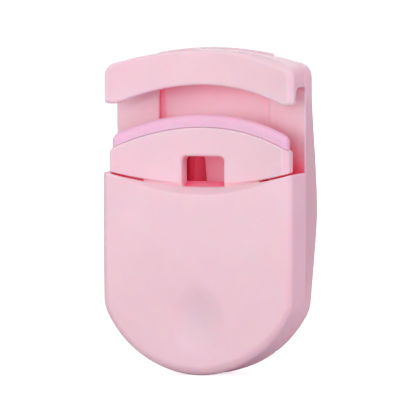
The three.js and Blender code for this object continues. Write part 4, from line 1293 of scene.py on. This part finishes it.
def cross_cutter(name, centre_x):
    """Two crossed bars, narrower at the bottom of the recess."""
    bm = bmesh.new()
    for half_x, half_z in ((1.05, 0.2), (0.2, 1.05)):
        for vert in bmesh.ops.create_cube(bm, size=1.0)["verts"]:
            taper = 0.72 if vert.co.y < 0 else 1.0
            vert.co.x = centre_x + vert.co.x * 2 * half_x * taper
            vert.co.z = SCREW_Z + vert.co.z * 2 * half_z * taper
            vert.co.y = SCREW_HEAD_Y + 0.55 if vert.co.y < 0 else SCREW_HEAD_Y + 1.6
    for vert in bm.verts:
        vert.co = Vector((vert.co.x * MM, (vert.co.y + SEAM_Y) * MM, vert.co.z * MM))
    mesh = bpy.data.meshes.new(name)
    bm.to_mesh(mesh)
    bm.free()
    return link_object(name, mesh)


def screw(name, sign, replaced):
    centre_x = sign * SCREW_X
    ob = lathe(name, screw_profile(), 36,
               lambda u, v, along: (u + centre_x, along, v + SCREW_Z), "screw_steel")
    cutter = cross_cutter(name + "_cutter", centre_x)
    modifier = ob.modifiers.new("recess", "BOOLEAN")
    modifier.operation = "DIFFERENCE"
    modifier.solver = "EXACT"
    modifier.use_self = True
    modifier.object = cutter
    mesh = evaluated_mesh(ob)
    bpy.data.objects.remove(cutter)
    mesh.shade_smooth()
    mesh.set_sharp_from_angle(angle=math.radians(35))
    assign(ob, "casing", replaced)


screw("case_screw_left", -1, "cover_screw_left")
screw("case_screw_right", 1, "cover_screw_right")

# ------------------------------------------------------------------ world and floor, metres

scene = bpy.context.scene
scene.view_settings.view_transform = "Standard"
scene.view_settings.look = "None"
scene.view_settings.exposure = 0.0
scene.view_settings.gamma = 1.0


def build_world():
    """White to the camera; a dim sky, pinker towards +X, to everything else."""
    world = bpy.data.worlds.new("studio")
    scene.world = world
    graph = Graph(world)
    seen = graph.add("Background", {"Color": (1, 1, 1, 1), "Strength": 1.0})
    sky = graph.add("Background", {"Color": (0.98, 0.97, 1.0, 1), "Strength": 0.48})
    direction = graph.add("TexCoord").outputs["Generated"]
    axes = graph.add("SeparateXYZ", {0: direction})
    rightness = graph.map_range(axes.outputs["X"], -0.1, 0.9)
    tint = graph.mix(rightness, (0.98, 0.98, 1.0, 1), (1.0, 0.72, 0.88, 1))
    graph.feed(sky, {"Color": tint})
    to_camera = graph.add("LightPath").outputs["Is Camera Ray"]
    shown = graph.add("MixShader", {0: to_camera, 1: sky.outputs[0], 2: seen.outputs[0]})
    graph.add("OutputWorld", {0: shown.outputs[0]})


def build_floor(half=3):
    """Nearly white to the camera, duller in the light it reflects."""
    mesh = bpy.data.meshes.new("studio_floor")
    corners = [(-half, -half, 0), (half, -half, 0), (half, half, 0), (-half, half, 0)]
    mesh.from_pydata(corners, [], [(0, 1, 2, 3)])
    floor = link_object("studio_floor", mesh)
    material = bpy.data.materials.new("pale_sweep")
    graph = Graph(material)
    pale = graph.add("BsdfDiffuse", {"Color": (0.9, 0.9, 0.9, 1)})
    shine = graph.add("Emission", {"Color": (1, 1, 1, 1), "Strength": 0.72})
    seen = graph.add("AddShader", {0: pale.outputs[0], 1: shine.outputs[0]})
    dull = graph.add("BsdfDiffuse", {"Color": (0.62, 0.55, 0.59, 1)})
    to_camera = graph.add("LightPath").outputs["Is Camera Ray"]
    shown = graph.add("MixShader", {0: to_camera, 1: dull.outputs[0], 2: seen.outputs[0]})
    graph.add("OutputMaterial", {0: shown.outputs[0]})
    mesh.materials.append(material)


build_world()
build_floor()

# ------------------------------------------------------------------ lights and camera, metres

MIDDLE = (0, 0, 0.036)
NEAR_WHITE = (1.0, 0.985, 0.98)


def area_light(name, place, size, power, color, target=MIDDLE):
    """Rectangular light turned to its target and hidden from the camera."""
    light = bpy.data.lights.new(name, "AREA")
    light.shape = "RECTANGLE"
    light.size, light.size_y = size
    light.energy = power
    light.color = color
    ob = link_object(name, light)
    ob.location = place
    ob.visible_camera = False
    ob.rotation_euler = (Vector(target) - Vector(place)).to_track_quat("-Z", "Y").to_euler()


area_light("key_top", place=(-0.12, -0.35, 0.75), size=(0.8, 0.6), power=0.95,
           color=(1.0, 0.985, 0.97))
area_light("fill_front", place=(-0.22, -1.08, 0.17), size=(1.3, 0.34), power=4.9,
           color=NEAR_WHITE, target=(0, 0, 0.09))
area_light("side_right", place=(0.8, -0.2, 0.25), size=(0.4, 0.5), power=2.1,
           color=(1.0, 0.80, 0.93))
area_light("fill_back", place=(-0.35, 1.1, 0.3), size=(1.0, 0.5), power=2.6, color=NEAR_WHITE)

CAMERA_AZIMUTH, CAMERA_ELEVATION = math.radians(16.9), math.radians(3.2)
CAMERA_DISTANCE = 1.50
CAMERA_TARGET = Vector((0.0, 0.0, 0.0352))


def build_camera():
    lens = bpy.data.cameras.new("photo_camera")
    camera = link_object("photo_camera", lens)
    back = Vector((math.sin(CAMERA_AZIMUTH) * math.cos(CAMERA_ELEVATION),
                   -math.cos(CAMERA_AZIMUTH) * math.cos(CAMERA_ELEVATION),
                   math.sin(CAMERA_ELEVATION)))
    camera.location = CAMERA_TARGET + back * CAMERA_DISTANCE
    camera.rotation_euler = (-back).to_track_quat("-Z", "Y").to_euler()
    lens.sensor_width = 36.0
    lens.lens = 597.0857143
    lens.clip_start = 0.01
    lens.clip_end = 10
    lens.shift_x = -0.00819047619
    lens.shift_y = -0.00226190476
    scene.camera = camera


build_camera()

scene.cycles.diffuse_bounces = 10
scene.cycles.max_bounces = 14
scene.cycles.use_denoising = True
